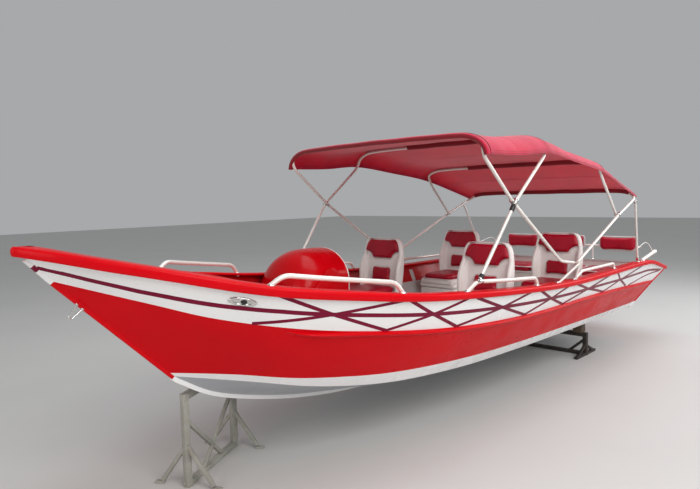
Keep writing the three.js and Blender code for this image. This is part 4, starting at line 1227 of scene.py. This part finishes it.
def make_seats():
    levels = spline(BACK_LEVELS, 44) / MM
    shell = Bag().loft([seat_ring(*row) for row in levels])
    for x0, x1, half, z0, z1, bevel, segments in SEAT_BOXES:
        shell.box((x0, -half, z0), (x1, half, z1), bevel, segments)
    trims = Bag().box((0.430, -0.022, 0.775), (0.440, 0.022, 0.787), 0.003, 2)
    for y in (-0.228, 0.228):
        for x in (-0.05, 0.39):
            trims.turned([(0, 0.011), (0.004, 0.010), (0.006, 0.004)], (x, y * 0.96, 0.896), UP,
                         12)
    cushion = swell(CUSHION_LOOP, CUSHION_TOP, 0.994, 0.014, 0.013, 0.006)
    upper = swell(UPPER_LOOP, 0.0, 0.032, 0.010, 0.011, 0.006)
    lower = swell(LOWER_LOOP, 0.0, 0.026, 0.010, 0.010, 0.006)
    lean = atan(SEAT_LEAN)
    axes = PORT, (-sin(lean), 0, cos(lean)), (cos(lean), 0, sin(lean))
    for row, x in (("fore", 110), ("aft", -1320)):
        for side, y in (("port", 610), ("starboard", -610)):
            move = np.array([x, y, 0]) * MM
            base = f"seat_{row}_{side}"
            body = shell.moved(*move)
            for k, (px, py, pz) in enumerate(body.verts):
                if pz < 0.85:        # the box is cut where the hull's side comes in
                    reach = inner_half(px, pz) - 0.004
                    body.verts[k] = (px, max(-reach, min(reach, py)), pz)
            body.make(f"{base}_moulding", "seat_shell", SHELL, f"{base}_shell")
            trims.moved(*move).make(f"{base}_fittings", "tube", BRIGHT)
            make_pad(f"{base}_cushion_pad", f"{base}_cushion", cushion, move, FLAT_AXES,
                     (CUSHION_LOOP * [1.0, 1.012], CUSHION_TOP + 0.003, 0.0055))
            for tag, z, pad, loop in (("upper", 1266, upper, UPPER_LOOP * 1.012),
                                      ("lower", 1042, lower, LOWER_LOOP * 1.015)):
                on_face = np.array([cad_face(z) + FACE_AHEAD - 3, 0, z]) * MM
                make_pad(f"{base}_{tag}_pad", f"{base}_back", pad, on_face + move, axes,
                         (loop, 0.004, 0.004))


# ---------------------------------------------------------------- aft bench
DOORS = (-0.52, 0.0, 0.52)
BACK_X, BACK_BAR_Z = -3.034, 1.215       # the backrests' tube frame


def make_bench():
    panel = Bag().box((-2.516, -0.80, 0.5904), (-2.500, 0.80, 0.866), 0.004, 2)
    latch = Bag()
    for y in DOORS:
        panel.box((-2.503, y - 0.215, 0.640), (-2.494, y + 0.215, 0.830), 0.004, 2)
        latch.turned([(0, 0.016), (0.004, 0.015), (0.006, 0.007), (0.010, 0.006)],
                     (-2.494, y, 0.800), FORE, 16)
    panel.box((-2.9895, -0.905, 0.867), (-2.486, 0.905, 0.885), 0.006)
    panel.make("bench_box", "white_paint", INSIDE_WHITE, "bench_base")
    latch.make("bench_latches", "tube", BRIGHT)
    middle = -2.739
    loop = rounded_loop([(-2.984, -0.290, 0.03), (-2.494, -0.290, 0.045), (-2.494, 0.290, 0.045),
                         (-2.984, 0.290, 0.03)]) - np.array([middle, 0.0])
    cushion = swell(loop, 0.0, 0.070, 0.018, 0.015, 0.011)
    for tag, y in (("starboard", -0.588), ("middle", 0.0), ("port", 0.588)):
        make_pad(f"bench_cushion_{tag}_pad", "bench_cushion", cushion, (middle, y, 0.8853),
                 FLAT_AXES, (loop * 1.006, 0.060, 0.0055))
    back_loop = rounded_loop([(-0.222, 0.085, 0.03), (0.222, 0.085, 0.03), (0.222, -0.085, 0.075),
                              (-0.222, -0.085, 0.075)])
    pad = swell(back_loop, 0.0, 0.046, 0.014, 0.012, 0.0075)
    for tag, y in (("starboard", -0.645), ("middle", 0.0), ("port", 0.645)):
        make_pad(f"bench_back_{tag}_pad", f"bench_back_{tag}", pad, (-3.0205, y, 1.250),
                 (PORT, UP, FORE), (back_loop * 1.008, 0.006, 0.0055))
    tubes = Bag().pipe([(BACK_X, y, BACK_BAR_Z) for y in linspace(-0.9, 0.9, 9)], 0.013)
    feet = Bag()
    deck = (sheer_at(BACK_X / MM)[2] - 4) * MM
    for y in (-0.86, -0.32, 0.32, 0.86):
        tubes.pipe([(BACK_X, y, z) for z in (deck, 1.12, BACK_BAR_Z)], 0.011, 14)
        feet.turned([(0, 0.026), (0.003, 0.026), (0.005, 0.016), (0.010, 0.0125)],
                    (BACK_X, y, deck), UP, 18)
        for t in (0, THIRD, THIRD * 2):
            feet.turned([(0.003, 0.0036), (0.0055, 0.003)],
                        (BACK_X + 0.019 * cos(t), y + 0.019 * sin(t), deck), UP, 8)
    for y in (-0.9, 0.9):
        feet.turned([(-0.006, 0.0135), (0.006, 0.0145), (0.010, 0.010), (0.012, 0.004)],
                    (BACK_X, y, BACK_BAR_Z), (0, copysign(1, y), 0), 16)
    tubes.make("bench_frame_tubes", "tube", TUBE, "bench_back_frame")
    feet.make("bench_frame_feet", "tube", BRIGHT)


# ---------------------------------------------------------------- helm console
CONSOLE_Y = -600
SOLE_TOP = 590
# Columns: x, half width, crown height, height where the dome starts
COWL = [(914, 340, 1454, 1186), (1080, 342, 1458, 1186), (1230, 336, 1446, 1166),
        (1350, 314, 1394, 1118), (1440, 270, 1272, 1026), (1490, 215, 1085, 890)]
COWL_TIP = [(1490, 196, 1042, 872), (1491, 150, 960, 830), (1491, 60, 800, 740)]
ARCH = (901, 321, 1442, 1186)    # x, half width, crown and shoulder of the arch tube
# Rounded wing plate on the dome's inboard side. Points are x and z
WING = [(1372, 1010), (1330, 1145), (1240, 1228), (1175, 1286), (1115, 1312), (1068, 1276),
        (1026, 1212), (985, 1010)]
DASH_LEAN = 0.162
# Dials. Columns: across the boat, height, radius
DIALS = [(-0.60, 1.355, 0.052), (-0.73, 1.335, 0.036), (-0.47, 1.335, 0.036),
         (-0.83, 1.285, 0.028), (-0.37, 1.285, 0.028)]


def cowl_ring(x, half, top, side, inset):
    h, crown, foot = half - inset, top - inset, SOLE_TOP + 0.4
    ring = [(x, CONSOLE_Y - h, z) for z in linspace(foot, side, 12)]
    ring += [(x, CONSOLE_Y + h * cos(t), side + (crown - side) * sin(t))
             for t in linspace(pi, 0, 40)[1:-1]]
    ring += [(x, CONSOLE_Y + h, z) for z in linspace(side, foot, 12)]
    return np.array(ring) * MM


def make_console():
    rows = [r for r in spline(COWL, 40) / MM if r[0] < 1487]
    outer = np.array([cowl_ring(*r, 0) for r in rows + COWL_TIP])
    inner = [cowl_ring(r[0] - (0 if k < 3 else 4), *r[1:], 14) for k, r in enumerate(rows)]
    inner = np.array(inner + [cowl_ring(r[0] - 13, *r[1:], 14) for r in COWL_TIP])
    limit = np.array([[inner_half(p[0], p[2]) for p in ring] for ring in outer])
    for grid in (outer, inner):
        grid[:, :, 1] = np.maximum(grid[:, :, 1], -np.maximum(0.05, limit - 0.001))
    Bag().add(*shell_grid(outer, inner)).make("console_dome", "red_gloss", DOME, "console_cowl")
    x, half, crown, shoulder = ARCH
    arch = [(x, CONSOLE_Y + half * cos(t), shoulder + (crown - shoulder) * sin(t))
            for t in linspace(pi, 0, 60)]
    arch = [(x, CONSOLE_Y - half, 1010), *arch, (x, CONSOLE_Y + half, 1010)]
    arch = Bag().pipe(soften(np.array(arch) * MM, 0.012), 0.013)
    arch.make("console_arch_tube", "tube", TUBE, "console_rim")
    wing = rounded([(x, 0, z, 45) for x, z in WING], 7, 0.02)
    toward = unit(wing.mean(axis=0) - wing)
    Bag().loft([[(px, y, pz) for px, _, pz in wing + toward * inset] for y, inset in (
        (-0.2665, 0.0), (-0.2475, 0.0), (-0.2445, 0.0012), (-0.2430, 0.0045))]).make(
            "console_wing", "red_gloss", DOME)

    def leaning(x, y, z):
        """Leans a point with the dash and keeps it within the hull's side."""
        x += DASH_LEAN * (z - 1.1)
        return x, max(y, 0.001 - inner_half(x, z)), z

    Bag().loft([[leaning(*p) for p in cowl_ring(x, 340, 1454, 1186, 14.5)]
                for x in (1000, 1012)]).make("dash_panel", "dash", DASH, "console_dash")
    make_dials()
    lever = Bag().box((0.938, -0.318, 1.06), (0.998, -0.280, 1.15), 0.012)
    lever.pipe([(0.958, -0.314, 1.11), (0.948, -0.336, 1.16), (0.936, -0.342, 1.21),
                (0.932, -0.344, 1.25)], 0.008, 12, 1)
    lever.box((0.915, -0.368, 1.238), (0.949, -0.320, 1.270), 0.013)
    lever.make("throttle_lever", "dash", [KNUCKLE, BRIGHT])


def make_dials():
    normal = Vector((-1, 0, DASH_LEAN)).normalized()
    up = Vector((DASH_LEAN, 0, 1)).normalized()
    dials, glass = Bag(), Bag()
    for y, z, r in DIALS:
        spot = Vector((1.0 + DASH_LEAN * (z - 1.1), y, z))
        dials.turned([(-0.004, r), (0.006, r), (0.010, r * 0.97), (0.010, r * 0.88),
                      (0.006, r * 0.85)], spot, normal, 36)
        glass.turned([(0.0, r * 0.86), (0.007, r * 0.86), (0.0085, r * 0.5)], spot, normal, 32)
        for k in range(11):      # marks
            t = radians(-120 + 24 * k)
            ray = Vector(PORT) * sin(t) + up * cos(t)
            dials.pipe(line(spot + ray * r * 0.64 + normal * 0.0088,
                            spot + ray * r * 0.80 + normal * 0.0078), 0.0009, 6, 1)
        needle = spot + Vector((0, 0.6, 0.5)).normalized() * r * 0.6 + normal * 0.0092
        dials.pipe(line(spot + normal * 0.0090, needle), 0.0013, 6, 1)
    z = 1.065
    x = 1.0 + DASH_LEAN * (z - 1.1)
    for k in range(6):           # switches
        y = -0.44 - 0.064 * k
        dials.box((x - 0.010, y - 0.020, z - 0.028), (x + 0.004, y + 0.020, z + 0.028),
                  0.004, 2, 2)
        dials.box((x - 0.017, y - 0.010, z - 0.018), (x - 0.006, y + 0.010, z + 0.018),
                  0.003, 2, 2)
    dials.make("dash_dials", "dash", [BRIGHT, PIPING, KNUCKLE])
    glass.make("dash_dial_faces", "dash", KNUCKLE)


WHEEL_AT, WHEEL_TILT, WHEEL_R = Vector((0.865, -0.6, 1.240)), 0.45, 0.155
# Spoke. Columns: distance from the middle, half width, place along the axis
SPOKE = [(0.020, 0.016, -0.004), (0.05, 0.0135, -0.001), (0.09, 0.011, 0.001),
         (0.125, 0.0105, 0.001), (0.148, 0.0125, 0.0)]


def make_wheel():
    axis = Vector((cos(WHEEL_TILT), 0, -sin(WHEEL_TILT)))
    up = Vector((sin(WHEEL_TILT), 0, cos(WHEEL_TILT)))

    def at(a, b, c):
        return WHEEL_AT + up * a + Vector(PORT) * b + axis * c

    grip = []
    for t in around(96):
        thick = 0.0125 + 0.0011 * cos(24 * t)
        for p in around(14):
            r = WHEEL_R + thick * cos(p)
            grip.append(at(r * cos(t), r * sin(t), thick * sin(p)))
    rim = Bag().add(grip, grid_faces(96, 14, wrap=True, ring=True))
    half = ((-1, -0.002), (-0.8, -0.0038), (0.8, -0.0038), (1, -0.002))
    section = (*half, *((-s, -h) for s, h in half))
    for t in map(radians, (60, 180, 300)):
        out = np.array([cos(t), sin(t)])
        across = np.array([-out[1], out[0]])
        rim.loft([[at(*(out * r + across * w * s), c + h) for s, h in section]
                  for r, w, c in SPOKE], 1)
    rim.turned([(-0.015, 0.034), (0.013, 0.034), (0.015, 0.030)], WHEEL_AT, axis, 32, 1)
    rim.turned([(-0.024, 0.012), (-0.0235, 0.020), (-0.021, 0.027), (-0.017, 0.031),
                (-0.013, 0.032)], WHEEL_AT, axis, 32)
    rim.make("helm_wheel", "wheel_rubber", [RUBBER, BRIGHT], "steering_wheel", body="wheel")
    post = Bag().turned([(0.0153, 0.020), (0.024, 0.0215), (0.06, 0.023), (0.10, 0.026),
                         (0.13, 0.028)], WHEEL_AT, axis, 28)
    post.make("helm_column", "tube", KNUCKLE, "steering_column")


# ---------------------------------------------------------------- trestles
# Columns: width, bar, place, turn, reach of the feet, foot bars or not, top of the beam, slot,
# material
TRESTLES = {
    "aft": (1.240, 0.050, (-2.150, 0.0), pi / 2, 0.260, True, 0.267,
            "trestle_dark", TRESTLE_DARK),
    "fore": (0.716, 0.046, (2.370, -0.255), pi + 0.49, 0.240, False,
             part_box("trestle_fore")[1][2], "trestle_grey", TRESTLE_GREY),
}
# Wooden blocks on the aft trestle: their y, half sizes, foot and top of the two layers
BLOCKS, BLOCK_HALF = (-0.52, 0.52), (0.055, 0.053)
BLOCK_LAYERS = [(0.266, 0.335), (0.3355, 0.400)]


def beam(bag, a, b, wide, high, bevel=0.004):
    """Square bar from a to b with rounded edges, in metres."""
    along = (b - a).normalized()
    side = along.cross(Vector(UP))
    if side.length < 1e-4:
        side = along.cross(Vector(PORT))
    side.normalize()
    top = side.cross(along).normalized()
    lo, hi = (0, -wide / 2, -high / 2), ((b - a).length, wide / 2, high / 2)
    verts, faces = soft_box(lo, hi, bevel, 2)
    bag.add([a + along * v[0] + side * v[1] + top * v[2] for v in verts], faces)


def make_trestles():
    for name, (width, bar, place, turn, reach, feet, height, slot, mat) in TRESTLES.items():
        half = width / 2
        spin = Matrix.Translation((*place, 0)) @ Matrix.Rotation(turn, 4, "Z")
        bag = Bag()

        def put(a, b, wide, high, **more):
            beam(bag, spin @ Vector(a), spin @ Vector(b), bar * wide, bar * high, **more)

        def weld(points, radius):
            bag.pipe([spin @ Vector(p) for p in points], radius, 8)

        put((-half, 0, bar * 0.4), (half, 0, bar * 0.4), 1, 0.8)
        put((-half, 0, height - bar / 2), (half, 0, height - bar / 2), 1, 1)
        for end in (-1, 1):
            x = end * (half - bar / 2)
            put((x, 0, 0.0005), (x, 0, height - 0.001), 0.98, 0.98)
            put((x, 0, height * 0.72), (x - end * height * 0.75, 0, bar * 0.4), 0.6, 0.6)
            for side in (-1, 1):
                foot = side * (reach - bar)
                put((x, 0, height * 0.45), (x, foot, bar * 0.45), 0.6, 0.6)
                if not feet:     # foot plates
                    put((x, foot - side * 0.01, 0.008), (x, foot + side * 0.055, 0.008), 0.9,
                        0.014 / bar, bevel=0.003)
                weld([(x + s * bar * 0.5, side * bar * 0.45, height * 0.45 + side * s * 0.004)
                      for s in (-0.8, -0.3, 0.3, 0.8)], 0.005)
            for s in (-1, 1):
                weld([(x + s * bar * 0.5, t * bar * 0.5, height - bar - 0.001)
                      for t in (-0.8, 0, 0.8)], 0.0045)
            if feet:
                put((x, -reach, bar * 0.3), (x, reach, bar * 0.3), 0.8, 0.6)
        bag.make(f"{name}_trestle_bars", slot, mat, f"trestle_{name}", smooth=30)
        if name == "aft":
            chocks, (dx, dy) = Bag(), BLOCK_HALF
            for y in BLOCKS:
                for low, high in BLOCK_LAYERS:
                    chocks.box((place[0] - dx, y - dy, low), (place[0] + dx, y + dy, high),
                               0.004, 2)
            chocks.make("aft_trestle_chocks", slot, WOOD)


# ---------------------------------------------------------------- floor, light, finish
# Columns: name, place, aimed at, size, power, colour
LIGHTS = [
    ("key", (3.0, 7.5, 6.0), (-0.5, 0, 1.0), 5.0, 450, (1.0, 0.98, 0.95)),
    ("sky", (-1.5, 1.0, 8.5), (-0.5, 0, 1.0), 7.0, 370, (0.95, 0.97, 1.0)),
    ("fill", (8.5, 1.0, 3.0), (1.0, 0, 0.8), 4.0, 100, (1.0, 0.97, 0.93)),
    ("back", (-7.0, 4.0, 4.0), (-2.0, 0, 1.0), 4.0, 185, (0.98, 0.98, 1.0)),
]
FLOOR_HALF = 40


def make_stage():
    bpy.context.scene.view_settings.view_transform = "Standard"
    mesh = bpy.data.meshes.new("floor")
    corners = [(x * FLOOR_HALF, y * FLOOR_HALF, 0) for x, y in ((-1, -1), (1, -1), (1, 1), (-1, 1))]
    mesh.from_pydata(corners, [], [(0, 1, 2, 3)])
    floor = add_object("floor", mesh)
    look = Look("floor_pale", "c9c8c6", 0.8)
    look.stain("bfbebc", 0.8, 4, 0.4, 0.7, 0.3)
    mesh.materials.append(look.mat)
    world = bpy.data.worlds.new("studio")
    bpy.context.scene.world = world
    world.use_nodes = True
    color, power = world.node_tree.nodes["Background"].inputs[:2]
    color.default_value, power.default_value = (0.86, 0.88, 0.9, 1), 0.45
    for name, place, aim, size, power, color in LIGHTS:
        data = bpy.data.lights.new(name, "AREA")
        data.shape, data.size, data.energy, data.color = "SQUARE", size, power, color
        lamp = add_object(name, data)
        lamp.location = place
        lamp.rotation_euler = (Vector(aim) - Vector(place)).to_track_quat("-Z", "Y").to_euler()


for make in (make_camera, make_hull, make_stripes, make_gunwale, make_strakes, make_keel,
             make_decks, make_sole, make_ribs, make_transom_fittings, make_bow_eye, make_hawse,
             make_frame_tubes, make_rails, make_canopy, make_seats, make_bench, make_console,
             make_wheel, make_trestles):
    make()

# CAD nodes that stay as they are and take a finish
for _name, _mat in {"transom": TRANSOM, "fore_bulkhead": INSIDE_RED, "stern_deck": INSIDE_GREY,
                    "aft_bulkhead": INSIDE_WHITE}.items():
    _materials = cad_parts[_name].data.materials
    _materials.clear()
    _materials.append(_mat)

make_stage()
